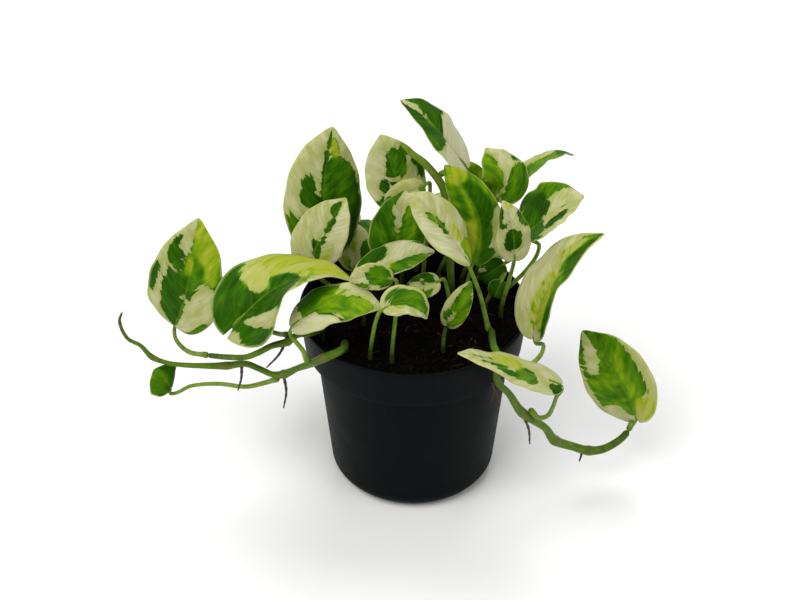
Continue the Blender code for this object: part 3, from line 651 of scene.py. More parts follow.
def skin(rings: Array, paint: int = 0, **values: Array) -> Skin:
    """A closed skin over rows of rings, each end closed by a fan round the ring's middle.

    Args:
        rings: Points as rows of rings.
        paint: Which of the object's materials the skin has.
        **values: Named values for each point of the rings.

    Returns:
        The skin, with its faces outward.
    """
    rows, count = rings.shape[:2]
    row = np.arange(rows - 1)[:, None] * count
    here = np.arange(count)
    after = (here + 1) % count
    quads = np.stack([row + here, row + after, row + count + after, row + count + here], -1)
    last = (rows - 1) * count
    first_fan = np.stack([np.full(count, rows * count), after, here], -1)
    last_fan = np.stack([np.full(count, rows * count + 1), last + here, last + after], -1)
    tris = np.vstack([first_fan, last_fan])
    points = np.vstack([rings.reshape(-1, 3), rings[0].mean(0), rings[-1].mean(0)])
    quads = quads.reshape(-1, 4)
    # The volume inside the faces is less than 0 where they point inward
    a, b, c, d = (points[quads[:, corner]] for corner in range(4))
    if np.einsum("ij,ij->", np.cross(c - a, d - b), a + b + c + d) < 0.0:
        quads, tris = quads[:, ::-1], tris[:, ::-1]
    kept = {}
    for name, value in values.items():
        tail = value.shape[2:]
        whole = np.broadcast_to(value, (rows, count, *tail))
        flat = whole.reshape(rows * count, *tail)
        kept[name] = np.concatenate([flat, whole[:1].mean(1), whole[-1:].mean(1)])
    return Skin(points, quads, tris, kept, paint)


def linked(name: str, data: bpy.types.ID) -> bpy.types.Object:
    """A new object in the scene.

    Args:
        name: Its name.
        data: The mesh, light or camera that it holds.

    Returns:
        The object.
    """
    thing = bpy.data.objects.new(name, data)
    bpy.context.scene.collection.objects.link(thing)
    return thing


def make_object(
    name: str, skins: Sequence[Skin], paints: Sequence[bpy.types.Material]
) -> bpy.types.Object:
    """Joins the skins in one smooth mesh object.

    Args:
        name: The object's name.
        skins: The closed skins that it is made of.
        paints: Its materials, which each skin picks from.

    Returns:
        The object, in metres, with the skins' values as attributes.
    """
    starts = np.cumsum([0, *(len(part.points) for part in skins)])
    faces: list = []
    picks: list[int] = []
    for part, start in zip(skins, starts):
        faces += (part.quads + start).tolist() + (part.tris + start).tolist()
        picks += [part.paint] * (len(part.quads) + len(part.tris))
    mesh = bpy.data.meshes.new(name)
    mesh.from_pydata(np.vstack([part.points for part in skins]) * MM, [], faces)
    for paint in paints:
        mesh.materials.append(paint)
    mesh.polygons.foreach_set("material_index", np.array(picks, np.int32))
    for label in sorted({key for part in skins for key in part.values}):
        sample = next(part.values[label] for part in skins if label in part.values)
        wide = sample.ndim == 2
        blank = (3,) if wide else ()
        whole = [part.values.get(label, np.zeros((len(part.points), *blank))) for part in skins]
        layer = mesh.attributes.new(label, "FLOAT_VECTOR" if wide else "FLOAT", "POINT")
        flat = np.concatenate(whole).astype(np.float32).ravel()
        layer.data.foreach_set("vector" if wide else "value", flat)
    mesh.shade_smooth()
    mesh.update()
    return linked(name, mesh)


def install(thing: bpy.types.Object, slot: str, *nodes: str) -> bpy.types.Object:
    """Lets an object ride on the frame and reports it.

    Args:
        thing: The object.
        slot: The record's slot, which only goes into the log.
        *nodes: The nodes that it stands in place of.

    Returns:
        The object.
    """
    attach(thing, "root")
    if nodes:
        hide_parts(*nodes)
    sides = sum(face.loop_total - 2 for face in thing.data.polygons)
    LOG.info("%s: %d triangles in slot %s", thing.name, sides, slot)
    return thing


SLANTS = ((1.0, 1.0, 0.3), (-1.0, 0.4, 1.0), (0.3, -1.0, 1.0))
# Directions that set where a tube's circles start: no path runs along all of them
GUIDES = np.vstack([np.eye(3), units(np.array(SLANTS))])


def tube(path: Array, radii: Array, sides: int, seed: float, paint: int = 0, **values: Array) -> Skin:
    """A round stem: at each point of the path, a circle square to it.

    Args:
        path: The stem's middle.
        radii: Its radius at each point.
        sides: How many points a circle has.
        seed: Sets this stem's grain apart from others.
        paint: Which material it has.
        **values: More named values for each row.

    Returns:
        The stem as a closed skin, with its grain: round it, along it and the seed.
    """
    heading = units(np.gradient(path, axis=0))
    # The circles start square to the guide that the path runs along least
    guide = GUIDES[np.argmin(np.abs(heading @ GUIDES.T).max(0))]
    side = units(np.cross(heading, guide))
    up = np.cross(side, heading)
    turn = np.linspace(0.0, tau, sides, endpoint=False)[None, :, None]
    spokes = np.cos(turn) * side[:, None] + np.sin(turn) * up[:, None]
    rings = path[:, None] + radii[:, None, None] * spokes
    run = np.concatenate([[0.0], np.cumsum(np.linalg.norm(np.diff(path, axis=0), axis=1))])
    girth = np.cos(turn[..., 0]) * np.ones((len(path), 1))
    grain = np.stack([girth, run[:, None] + 0 * girth, seed + 0 * girth], -1)
    rows = {name: value[:, None] * np.ones((1, sides)) for name, value in values.items()}
    return skin(rings, paint, grain=grain, **rows)


@dataclass(frozen=True)
class Blade:
    """The blade of one leaf: a thin sheet bent along its midrib, folded, cupped and rippled.

    The crowdings draw rows toward the base and columns toward the midrib. pillow, groove and keel
    are how far the sheet swells between side veins, sinks along the midrib and stands out below
    it, in millimetres. rim_waves are the rim's quick waves, each with its share, pace and lead,
    and drift_wave is the pace and lead of the rim's wander sideways. oval_power squares the
    patches' ovals a little.
    """

    leaf: Leaf
    patches: tuple[Patch, ...]
    seed: float
    rows: int = 84
    columns: int = 29
    row_crowding: float = 1.5
    column_crowding: float = 1.3
    side_veins: int = 13
    vein_slant: float = 0.6
    pillow: float = 0.22
    pillow_edge: float = 2.0
    groove: float = 0.3
    keel: float = 0.35
    rib_width: float = 0.9
    rib_fade: float = 0.7
    tip_pinch: float = 0.3
    pinch_start: float = 0.82
    tip_curl: float = 1.6
    curl_start: float = 0.78
    quick_waves: float = 2.9
    half_lead: float = 2.1
    rim_wave: float = 0.014
    rim_waves: tuple = ((1.0, 1.0, 0.0), (0.5, 1.9, 0.7))
    rim_wander: float = 0.013
    drift_wave: tuple = (1.3, 2.0)
    oval_power: float = 2.5
    speckle_fade: tuple = (-0.5, 1.0)
    tone_fade: float = 1.2

    @property
    def length(self) -> float:
        """The straight length from base to tip."""
        return float(np.linalg.norm(seen(*self.leaf.tip) - seen(*self.leaf.base)))

    def axes(self, along: Array) -> tuple[Array, Array, Array, Array]:
        """The midrib bent to an arch out of its face and sideways, and its axes, which twist.

        Args:
            along: Fractions of the way from base to tip.

        Returns:
            Midrib points and the axes along, across and out of the blade.
        """
        leaf = self.leaf
        start = seen(*leaf.base)
        chord = seen(*leaf.tip) - start
        length = np.linalg.norm(chord)
        forward = chord / length
        face = np.array(leaf.face)
        flat_out = unit(face - face.dot(forward) * forward)
        flat_side = np.cross(forward, flat_out)
        tilt = radians(leaf.roll)
        out = cos(tilt) * flat_out - sin(tilt) * flat_side
        early = 1.0 + leaf.hook * (1.0 - 2.0 * along)
        arch = 4.0 * along * (1.0 - along) * early
        slope = 4.0 * (1.0 - 2.0 * along) * early - 8.0 * leaf.hook * along * (1.0 - along)
        bend = leaf.bow * out + leaf.sway * flat_side
        middle = start + along[:, None] * chord + arch[:, None] * length * bend
        heading = units(forward + slope[:, None] * bend)
        level = units(out - heading * (heading @ out)[:, None])
        across = np.cross(heading, level)
        turn = (radians(leaf.twist) * (0.5 - (1.0 - along) ** 2))[:, None]
        side = np.cos(turn) * across + np.sin(turn) * level
        return middle, heading, side, np.cos(turn) * level - np.sin(turn) * across

    def reach(self, along: Array) -> Array:
        """Half of the width: round at the base, widest at two fifths, drawn out at the tip.

        Args:
            along: Fractions of the way from base to tip.

        Returns:
            The half widths: along to one power times what is left of the way to another, at 1
            where it is widest, pinched toward the tip and never less than the ends' own widths.
        """
        widest = BLADE_SWELL / (BLADE_SWELL + BLADE_TAPER)
        peak = widest**BLADE_SWELL * (1.0 - widest) ** BLADE_TAPER
        outline = along**BLADE_SWELL * (1.0 - along) ** BLADE_TAPER / peak
        outline = outline * (1.0 - self.tip_pinch * eased(along, self.pinch_start, 1.0))
        ends = NECK_HALF_WIDTH * (1.0 - along) + TIP_HALF_WIDTH * along
        return 0.5 * self.leaf.width * outline + ends

    def sheet(self, along: Array, across: Array) -> Array:
        """The blade's middle surface.

        Each half leaves the midrib at the fold's angle and curves by the cup's angle on its way
        to the rim. The rim rises and falls in slow and quick waves and wanders a little sideways,
        the tip curls under, and the base's lobes lag behind the midrib.

        Args:
            along: Fractions of the way from base to tip.
            across: Fractions of the way from the midrib to either rim.

        Returns:
            Points as rows along the blade of points across it.
        """
        leaf = self.leaf
        middle, heading, side, level = self.axes(along)
        reach = self.reach(along)[:, None]
        run, part, half = along[:, None], np.abs(across)[None, :], np.sign(across)[None, :]
        inland = np.sin(pi * run)
        fold, cup = radians(leaf.fold), radians(leaf.cup) + NEARLY_FLAT
        sideways = half * reach * (np.sin(fold + cup * part) - sin(fold)) / cup
        rise = reach * (cos(fold) - np.cos(fold + cup * part)) / cup
        slow = tau * EDGE_WAVES * run + EDGE_WAVE_OFFSET * half
        rise = rise + leaf.ripple * part**2 * np.sin(slow) * inland
        quick = tau * self.quick_waves * run + self.seed + self.half_lead * half
        flutter = sum(share * np.sin(pace * quick + lead) for share, pace, lead in self.rim_waves)
        rise = rise + self.rim_wave * leaf.width * part**4 * flutter * inland
        rise = rise - self.tip_curl * eased(run, self.curl_start, 1.0) ** 2
        pace, lead = self.drift_wave
        sideways = sideways * (1.0 + self.rim_wander * part * np.sin(pace * quick + lead))
        lag = leaf.lobe * leaf.width * part**2 * (1.0 - run) ** 4
        return (
            middle[:, None, :]
            + sideways[:, :, None] * side[:, None, :]
            + rise[:, :, None] * level[:, None, :]
            - lag[:, :, None] * heading[:, None, :]
        )

    def vein(self, along: Array, aside: Array) -> Array:
        """How far toward the tip the side vein through a point leaves the midrib, in millimetres."""
        return along * self.length - self.vein_slant * aside - aside**2 / self.leaf.width

    def colour(self, along: Array, across: Array) -> tuple[Array, Array]:
        """The patches laid over one another.

        Args:
            along: Fractions along the blade.
            across: Fractions across it.

        Returns:
            How far inside green each point is, in millimetres and less than 0 in cream, and the
            tone there.
        """
        depth = np.full(along.shape, DEEP_IN_CREAM)
        tone = np.full(along.shape, GROUND_TONE)
        power = self.oval_power
        for patch in self.patches:
            run = (along - patch.along) / patch.length
            drift = patch.across + patch.lean * (along - patch.along)
            spread = (across - drift) / patch.breadth
            size = min(patch.length * self.length, 0.5 * patch.breadth * self.leaf.width)
            away = (np.abs(run) ** power + np.abs(spread) ** power) ** (1.0 / power)
            inside = np.maximum((1.0 - away) * size, DEEP_IN_CREAM)
            if patch.tissue is Tissue.GREEN:
                depth = np.maximum(depth, inside)
            elif patch.tissue is Tissue.CREAM:
                depth = np.minimum(depth, -inside)
            else:
                depth = depth * (1.0 - eased(inside, *self.speckle_fade))
            tone = tone + (patch.tone - tone) * eased(inside, -self.tone_fade, self.tone_fade)
        return depth, tone

    def skin(self) -> Skin:
        """The sheet with its thickness: thin at the rim, swollen between the side veins.

        Returns:
            The closed skin, grooved along the midrib on top and keeled below. It carries the
            patches' depth and tone, which side it is, its grain (place across, vein, seed) and
            its form (place along, nearness to the rim, phase of the side veins).
        """
        along = np.linspace(0.0, 1.0, self.rows) ** self.row_crowding
        even = np.linspace(-1.0, 1.0, self.columns)
        across = np.sign(even) * np.abs(even) ** self.column_crowding
        sheet = self.sheet(along, across)
        normal = units(np.cross(np.gradient(sheet, axis=1), np.gradient(sheet, axis=0)))
        run, way = np.meshgrid(along, across, indexing="ij")
        rim = np.abs(way)
        aside = rim * self.reach(along)[:, None]
        vein = self.vein(run, aside)
        phase = vein * self.side_veins / self.length
        inner = 1.0 - rim**4
        fade = np.sin(pi * run) * inner * np.minimum(aside / self.pillow_edge, 1.0)
        pillow = self.pillow * (0.5 - 0.5 * np.cos(tau * phase)) * fade
        ridge = np.exp(-((aside / self.rib_width) ** 2)) * (1.0 - self.rib_fade * run)
        half = 0.5 * (RIM_THICKNESS + (BLADE_THICKNESS - RIM_THICKNESS) * inner)
        top = sheet + (half + pillow - self.groove * ridge)[..., None] * normal
        under = sheet - (half - pillow + self.keel * ridge)[..., None] * normal
        depth, tone = self.colour(run, way)
        grain = np.stack([np.sign(way) * aside, vein, np.full(vein.shape, self.seed)], -1)
        form = np.stack([run, rim, phase], -1)
        # Each ring runs over the top from rim to rim and back below, with the same values
        values = {"depth": depth, "tone": tone, "grain": grain, "form": form}
        both = {key: np.concatenate([value, value[:, ::-1]], axis=1) for key, value in values.items()}
        below = np.repeat([0.0, 1.0], self.columns)
        return skin(np.concatenate([top, under[:, ::-1]], axis=1), below=below, **both)


@dataclass(frozen=True)
class LeafBuilder:
    """One whole leaf: its blade, the stalk that carries it and, on a stem, a sheath at its foot."""

    name: str
    leaf: Leaf
    seed: float
    stalk_steps: int = 9
    stalk_sides: int = 14
    sheath_rows: int = 12
    sheath_seed: float = 0.5

    def stalk(self, blade: Blade) -> Skin:
        """The stalk from the soil or a vine, thickest at its foot, up into the blade's base.

        Args:
            blade: The leaf's blade.

        Returns:
            The stalk's skin.
        """
        leaf = self.leaf
        middle, heading, _, level = blade.axes(np.array([0.0, PETIOLE_SEAT]))
        start = out_of_soil(leaf.rooted) if leaf.rooted else [seen(*leaf.foot)]
        via = [seen(*place) for place in leaf.via]
        under = middle[0] - PETIOLE_APPROACH * heading[0] - PETIOLE_DROP * level[0]
        path = smooth_path([*start, *via, under, middle[1]], self.stalk_steps)
        part = np.linspace(0.0, 1.0, len(path))
        radii = leaf.stalk * shaped(part, STALK_SHAPE)
        # Painted shade near the peat, only on stalks that rise from it
        values = {"run": part, "scar": 0.0 * part, "damp": low_shading(path) if leaf.rooted else 0.0 * part}
        return tube(path, radii, self.stalk_sides, self.seed, STALK_PAINT, **values)

    def sheath(self) -> Skin:
        """The short papery sheath that hugs the stalk's foot where it leaves a stem.

        Returns:
            The sheath's skin: a straight sleeve along the stalk's first stretch.
        """
        leaf = self.leaf
        foot = seen(*leaf.foot)
        onward = seen(*(leaf.via[0] if leaf.via else leaf.base))
        part = np.linspace(0.0, 1.0, self.sheath_rows)
        path = foot + (part[:, None] * SHEATH_LENGTH - SHEATH_SINK) * unit(onward - foot)
        radii = leaf.stalk * shaped(part, SHEATH_SHAPE)
        scar = np.linspace(*SHEATH_SCARS, self.sheath_rows)
        seed = self.seed + self.sheath_seed
        return tube(path, radii, self.stalk_sides, seed, STALK_PAINT, run=1.0 - part, scar=scar)

    def build(self, paints: Sequence[bpy.types.Material], slot: str) -> bpy.types.Object:
        """Makes the leaf and puts it in place of its node.

        Args:
            paints: The materials of the blade and of the stalk.
            slot: The record's slot, which only goes into the log.

        Returns:
            The leaf.
        """
        blade = Blade(self.leaf, PATTERNS[self.name], self.seed)
        skins = [blade.skin(), self.stalk(blade)]
        if self.leaf.foot:
            skins.append(self.sheath())
        return install(make_object("fine_" + self.name, skins, paints), slot, self.name)


@dataclass(frozen=True)
class VineBuilder:
    """One stem: swollen and scarred at its joints, with its hanging roots and threads.

    scar_width, tip_length and knob_pace are in parts of the stem or root, scar_swell and knobs in
    parts of its radius, and tip_size is how thick its end stays.
    """

    name: str
    vine: Vine
    seed: float
    steps: int = 12
    sides: int = 20
    scar_width: float = 0.012
    scar_swell: float = 0.12
    tip_length: float = 0.02
    tip_size: float = 0.25
    root_steps: int = 14
    root_sides: int = 10
    root_seed: float = 0.3
    knobs: float = 0.12
    knob_pace: float = 31.0
    first_thread: int = 5

    def stem(self) -> Skin:
        """The stem's tube, its radius eased from place to place, with a ring at each joint.

        Returns:
            The stem's skin. A joint is where the radius is greater than on either side.
        """
        rising = out_of_soil(self.vine.rooted)
        path = smooth_path([*rising, *(seen(*place) for place in self.vine.course)], self.steps)
        knots = np.concatenate([np.full(len(rising), self.vine.radii[0]), self.vine.radii])
        marks = np.linspace(0.0, 1.0, len(knots))
        part = np.linspace(0.0, 1.0, len(path))
        radii = np.interp(part, marks, knots)
        swollen = np.flatnonzero((knots[1:-1] > knots[:-2]) & (knots[1:-1] >= knots[2:])) + 1
        joints = marks[swollen]
        scars = np.exp(-(((part[:, None] - joints[None, :]) / self.scar_width) ** 2)).sum(1)
        taper = np.minimum(1.0, (1.0 - part) / self.tip_length + self.tip_size)
        radii = radii * (1.0 + self.scar_swell * scars) * taper
        # The stem darkens with painted shade near the peat
        return tube(path, radii, self.sides, self.seed, run=part, scar=scars, damp=low_shading(path))

    def root(self, ends: tuple, number: int, girth: float = 1.0, paint: int = ROOT_PAINT) -> Skin:
        """One thin root that hangs in a slight bend and thins to its end.

        Args:
            ends: The seen places of its start and end.
            number: Which of the stem's roots it is.
            girth: Its thickness as a part of a full root's.
            paint: Which of the object's materials it has.

        Returns:
            The root's skin, a little knobbly.
        """
        start, end = (seen(*place) for place in ends)
        middle = 0.5 * (start + end) + ROOT_BEND * np.linalg.norm(end - start) * RIGHT
        path = smooth_path([start, middle, end], self.root_steps)
        part = np.linspace(0.0, 1.0, len(path))
        radii = girth * np.linspace(*ROOT_RADII, len(path))
        radii = radii * (1.0 + self.knobs * np.sin(self.knob_pace * part + number))
        seed = self.seed + self.root_seed * number
        return tube(path, radii, self.root_sides, seed, paint, run=part, scar=0 * part)

    def build(self, paints: Sequence[bpy.types.Material]) -> bpy.types.Object:
        """Makes the stem with its roots and threads and puts it in place of its node.

        Args:
            paints: The materials of stem, root and thread.

        Returns:
            The stem.
        """
        skins = [self.stem()]
        skins += [self.root(ends, number) for number, ends in enumerate(self.vine.roots)]
        for number, ends in enumerate(THREADS.get(self.name, ()), self.first_thread):
            skins.append(self.root(ends, number, THREAD_GIRTH, THREAD_PAINT))
        return install(make_object("fine_" + self.name, skins, paints), "vine_green", self.name)


def arc(radius: float, height: float, bend: float, start: float, end: float, count: int) -> list:
    """Profile points round a corner, from one angle to another in degrees."""
    angles = np.radians(np.linspace(start, end, count))
    return [(radius + bend * cos(a), height + bend * sin(a)) for a in angles]


def between(start: tuple[float, float], end: tuple[float, float], count: int) -> list:
    """Profile points evenly along a straight line, without its end."""
    part = np.linspace(0.0, 1.0, count, endpoint=False)
    return [tuple(np.array(start) * (1 - t) + np.array(end) * t) for t in part]


def turned(profile: Sequence[tuple[float, float]], spokes: int) -> Array:
    """A profile swept round the pot's axis.

    Args:
        profile: Radius and height of each of its points.
        spokes: How many times it stands round the axis.

    Returns:
        The swept points as rows of rings.
    """
    radii, heights = np.array(profile).T[..., None]
    turn = np.linspace(0.0, tau, spokes, endpoint=False)
    return np.stack(np.broadcast_arrays(radii * np.cos(turn), radii * np.sin(turn), heights), -1)


@dataclass(frozen=True)
class PotBuilder:
    """The thin nursery pot: tapered body, deeper collar, rounded foot and drain holes."""

    spokes: int = 180
    foot_steps: int = 14
    inner_foot_steps: int = 12
    wall_steps: int = 16
    inner_wall_steps: int = 12
    corner_steps: int = 4
    short_steps: int = 6
    drill_spokes: int = 48
    sharp_angle: float = 35.0

    def profile(self) -> list:
        """Radius and height of the wall's section.

        Returns:
            Its points, from the underside's middle up the outside and down the inside.
        """
        few, corner = self.short_steps, self.corner_steps
        inner = BASE_FILLET - WALL
        outer_foot = arc(BASE_RADIUS - BASE_FILLET, BASE_FILLET, BASE_FILLET, -90, 0, self.foot_steps)
        inner_foot = arc(
            BASE_RADIUS - BASE_FILLET, FLOOR_THICKNESS + inner, inner, 0, -90, self.inner_foot_steps
        )
        body_top = (BODY_TOP_RADIUS, STEP_HEIGHT - STEP_ROUND)
        collar_foot = (COLLAR_FOOT_RADIUS, STEP_HEIGHT + STEP_ROUND)
        lip = (RIM_RADIUS, POT_HEIGHT - RIM_ROUND)
        inside_top = (RIM_RADIUS - WALL, POT_HEIGHT - RIM_ROUND / 2)
        inside_collar = (COLLAR_FOOT_RADIUS - WALL, STEP_HEIGHT + STEP_ROUND + WALL)
        inside_body = (BODY_TOP_RADIUS - WALL, STEP_HEIGHT - STEP_ROUND + WALL)
        return [
            *between((MIDDLE_RADIUS, 0.0), outer_foot[0], few),
            *outer_foot,
            *between(outer_foot[-1], body_top, self.wall_steps)[1:],
            *arc(BODY_TOP_RADIUS + STEP_ROUND, body_top[1], STEP_ROUND, 180, 90, corner),
            *arc(COLLAR_FOOT_RADIUS - STEP_ROUND, collar_foot[1], STEP_ROUND, -90, 0, corner),
            *between(collar_foot, lip, few)[1:],
            *arc(RIM_RADIUS - RIM_ROUND, lip[1], RIM_ROUND, 0, 90, few),
            (RIM_RADIUS - WALL + RIM_ROUND / 2, POT_HEIGHT),
            *between(inside_top, inside_collar, few),
            inside_collar,
            *between(inside_body, inner_foot[0], self.inner_wall_steps),
            *inner_foot,
            *between(inner_foot[-1], (MIDDLE_RADIUS, FLOOR_THICKNESS), few)[1:],
            (MIDDLE_RADIUS, FLOOR_THICKNESS),
        ]

    def drill(self, thing: bpy.types.Object) -> None:
        """Cuts the drain holes through the floor and removes the cutters.

        Args:
            thing: The pot.
        """
        group = bpy.data.collections.new("drain_drills")
        bpy.context.scene.collection.children.link(group)
        drills = []
        for turn in range(DRAIN_COUNT):
            angle = tau * (turn + 0.5) / DRAIN_COUNT
            middle = np.array([DRAIN_RING * cos(angle), DRAIN_RING * sin(angle), 0.0])
            ends = [(DRAIN_RADIUS, side * 2.0 * FLOOR_THICKNESS) for side in (-1.0, 1.0)]
            rings = turned(ends, self.drill_spokes) + middle
            drill = make_object(f"drain_drill_{turn}", [skin(rings)], [])
            bpy.context.scene.collection.objects.unlink(drill)
            group.objects.link(drill)
            drills.append(drill)
        cut = thing.modifiers.new("drains", "BOOLEAN")
        cut.operand_type = "COLLECTION"
        cut.collection = group
        cut.solver = "MANIFOLD"
        bpy.context.view_layer.update()
        graph = bpy.context.evaluated_depsgraph_get()
        mesh = bpy.data.meshes.new_from_object(thing.evaluated_get(graph), depsgraph=graph)
        thing.modifiers.clear()
        thing.data = mesh
        for drill in drills:
            bpy.data.objects.remove(drill)
        bpy.data.collections.remove(group)

    def build(self, paint: bpy.types.Material) -> bpy.types.Object:
        """Makes the pot and puts it in place of its node.

        Args:
            paint: Its material.

        Returns:
            The pot.
        """
        thing = make_object("fine_pot", [skin(turned(self.profile(), self.spokes))], [paint])
        self.drill(thing)
        thing.data.shade_smooth()
        thing.data.set_sharp_from_angle(angle=radians(self.sharp_angle))
        return install(thing, "pot_black", "pot")


@dataclass(frozen=True)
class SoilBuilder:
    """The peat: a plug with an uneven top, and loose crumbs and fibres that lie on it.

    lump_paces and slant_paces are how quick the low lumps' waves are across and back. crumb_sizes
    are the smallest crumb's half size and how much more the largest has. Other pairs are the
    least and the most that is drawn.
    """

    seed: int = 7
    spokes: int = 260
    rings: int = 96
    corner_steps: int = 6
    centre: float = 0.3
    lump_paces: tuple = (0.31, 0.27)
    lump_lead: float = 1.0
    slant_paces: tuple = (0.19, 0.43)
    slant_share: float = 0.6
    waves: int = 60
    wave_paces: tuple = (0.5, 3.0)
    pace_floor: float = 0.6
    roughness: float = 0.16
    spread: float = 54.0
    stem_room: float = 3.4
    crumbs: int = 1300
    crumb_sizes: tuple = (0.35, 0.95)
    crumb_stretch: tuple = (0.6, 1.5)
    crumb_bumps: tuple = (0.75, 1.25)
    crumb_bulge: tuple = (0.25, 0.8, 1.0, 0.8, 0.25)
    crumb_sides: int = 7
    fibres: int = 150
    fibre_rows: int = 9
    fibre_sides: int = 6
    fibre_tilt: float = 0.25
    fibre_lift: float = 0.25
    fibre_reach: tuple = (1.5, 5.0)
    fibre_bend: float = 0.3
    fibre_girth: tuple = (0.08, 0.26)
    fibre_taper: float = 0.6
    fibre_tones: tuple = (0.5, 2.0)

    def height(self, across: Array, back: Array) -> Array:
        """The peat's top: a slight sag toward the rim, low lumps and rough waves every way.

        Args:
            across: Places across.
            back: Places back.

        Returns:
            The height there.
        """
        sag = SOIL_SAG * (across**2 + back**2) / RIM_RADIUS**2
        (across_pace, back_pace), (slant_across, slant_back) = self.lump_paces, self.slant_paces
        lumps = np.sin(across_pace * across + self.lump_lead) * np.cos(back_pace * back)
        lumps = lumps + self.slant_share * np.sin(slant_across * across - slant_back * back)
        draw = np.random.default_rng(self.seed)
        rough = np.zeros_like(across)
        paces = draw.uniform(*self.wave_paces, self.waves)
        angles = draw.uniform(0.0, tau, self.waves)
        leads = draw.uniform(0.0, tau, self.waves)
        for pace, angle, lead in zip(paces, angles, leads):
            run = across * cos(angle) + back * sin(angle)
            rough += np.sin(pace * run + lead) / (self.pace_floor + pace)
        return SOIL_TOP - sag + SOIL_LUMP * lumps + self.roughness * rough

    def plug(self) -> Skin:
        """The closed plug.

        Returns:
            Its skin, the sides a hair inside the pot and the top uneven.
        """
        inner = BASE_FILLET - WALL
        base = FLOOR_THICKNESS + CLEARANCE
        gap = 2.0 * CLEARANCE
        edge = COLLAR_FOOT_RADIUS - WALL - gap
        corner = BASE_RADIUS - BASE_FILLET - gap
        profile = [
            (MIDDLE_RADIUS, base),
            (corner, base),
            *arc(corner, base + inner, inner, -60, 0, self.corner_steps),
            (BODY_TOP_RADIUS - WALL - gap, STEP_HEIGHT - STEP_ROUND + WALL),
            (edge, STEP_HEIGHT + STEP_ROUND + WALL + gap),
            *((radius, SOIL_TOP) for radius in np.linspace(edge, self.centre, self.rings)),
        ]
        rings = turned(profile, self.spokes)
        top = rings[-self.rings :]
        top[..., 2] = self.height(top[..., 0], top[..., 1])
        return skin(rings)

    def scatter(self, draw: np.random.Generator, count: int) -> Array:
        """Places on the peat, clear of every stalk and stem.

        Args:
            draw: Where the random numbers come from.
            count: How many places to try.

        Returns:
            The places that are clear.
        """
        radius = self.spread * np.sqrt(draw.uniform(0.0, 1.0, count))
        turn = draw.uniform(0.0, tau, count)
        across, back = radius * np.cos(turn), radius * np.sin(turn)
        grown = (*LEAVES.values(), *VINES.values())
        rooted = np.array([plant.rooted for plant in grown if plant.rooted])
        away = np.hypot(across[:, None] - rooted[:, 0], back[:, None] - rooted[:, 1])
        places = np.stack([across, back, self.height(across, back)], -1)
        return places[away.min(1) > self.stem_room]

    def lumps(self, draw: np.random.Generator) -> list[Skin]:
        """The crumbs: bumpy eggs of all sizes, stretched and turned every way.

        Args:
            draw: Where the random numbers come from.

        Returns:
            Their skins, each with a tone of its own.
        """
        places = self.scatter(draw, self.crumbs)
        count, rows = len(places), len(self.crumb_bulge)
        bulge = np.array(self.crumb_bulge)[:, None]
        turn = np.linspace(0.0, tau, self.crumb_sides, endpoint=False)
        least, more = self.crumb_sizes
        size = least + more * draw.uniform(0.0, 1.0, count) ** 3
        stretch = draw.uniform(*self.crumb_stretch, (count, 3)) * size[:, None]
        bumps = draw.uniform(*self.crumb_bumps, (count, rows, self.crumb_sides))
        level = np.broadcast_to(np.linspace(-1.0, 1.0, rows)[:, None], bumps.shape)
        local = np.stack([bumps * bulge * np.cos(turn), bumps * bulge * np.sin(turn), level], -1)
        angle = draw.uniform(0.0, tau, (count, 2))
        frames = self.frames(angle[:, 0], angle[:, 1])
        local = local * stretch[:, None, None, :]
        rings = np.einsum("cij,crsj->crsi", frames, local) + places[:, None, None, :]
        tones = draw.uniform(0.0, 1.0, (count, 1, 1))
        return [skin(ring, tone=tone) for ring, tone in zip(rings, tones)]

    def thread(self, draw: np.random.Generator, place: Array) -> Skin:
        """One fibre: a thin thread bent to an arch, thickest in its middle.

        Args:
            draw: Where the random numbers come from.
            place: Its middle on the peat.

        Returns:
            Its skin, with a tone of its own.
        """
        heading = unit(np.array([*draw.normal(0.0, 1.0, 2), self.fibre_tilt * draw.normal()]))
        side = unit(np.cross(heading, UP))
        reach = draw.uniform(*self.fibre_reach)
        bend = draw.normal(0.0, self.fibre_bend)
        part = np.linspace(-1.0, 1.0, self.fibre_rows)[:, None]
        path = place + self.fibre_lift * UP + reach * (part * heading + bend * (part**2 - 0.5) * side)
        radii = draw.uniform(*self.fibre_girth) * (1.0 - self.fibre_taper * np.abs(part[:, 0]) ** 3)
        tone = np.full(len(path), draw.uniform(*self.fibre_tones))
        thread = tube(path, radii, self.fibre_sides, 0.0, tone=tone)
        del thread.values["grain"]
        return thread

    def loose(self) -> list[Skin]:
        """All that lies loose on the peat.

        Returns:
            The skins of the crumbs, then of the fibres.
        """
        draw = np.random.default_rng(self.seed + 1)
        crumbs = self.lumps(draw)
        return crumbs + [self.thread(draw, place) for place in self.scatter(draw, self.fibres)]

    @staticmethod
    def frames(turn: Array, lean: Array) -> Array:
        """Turning matrices.

        Args:
            turn: Angles about the upright axis, which come last.
            lean: Angles about a level axis.

        Returns:
            One matrix for each pair of angles.
        """
        zero, one = np.zeros_like(turn), np.ones_like(turn)
        upright = [np.cos(turn), -np.sin(turn), zero, np.sin(turn), np.cos(turn), zero, zero, zero, one]
        tipped = [one, zero, zero, zero, np.cos(lean), -np.sin(lean), zero, np.sin(lean), np.cos(lean)]
        first, second = (np.stack(cells, -1).reshape(-1, 3, 3) for cells in (upright, tipped))
        return first @ second

    def build(self, paint: bpy.types.Material, loose_paint: bpy.types.Material) -> None:
        """Makes the plug in place of its node, and the loose crumbs and fibres on it."""
        install(make_object("fine_soil", [self.plug()], [paint]), "peat", "soil")
        install(make_object("peat_crumbs", self.loose(), [loose_paint]), "peat")


@dataclass(frozen=True)
class Coat:
    """A colour laid over another one, and the share that it covers where it lies fully."""

    share: float
    color: Color


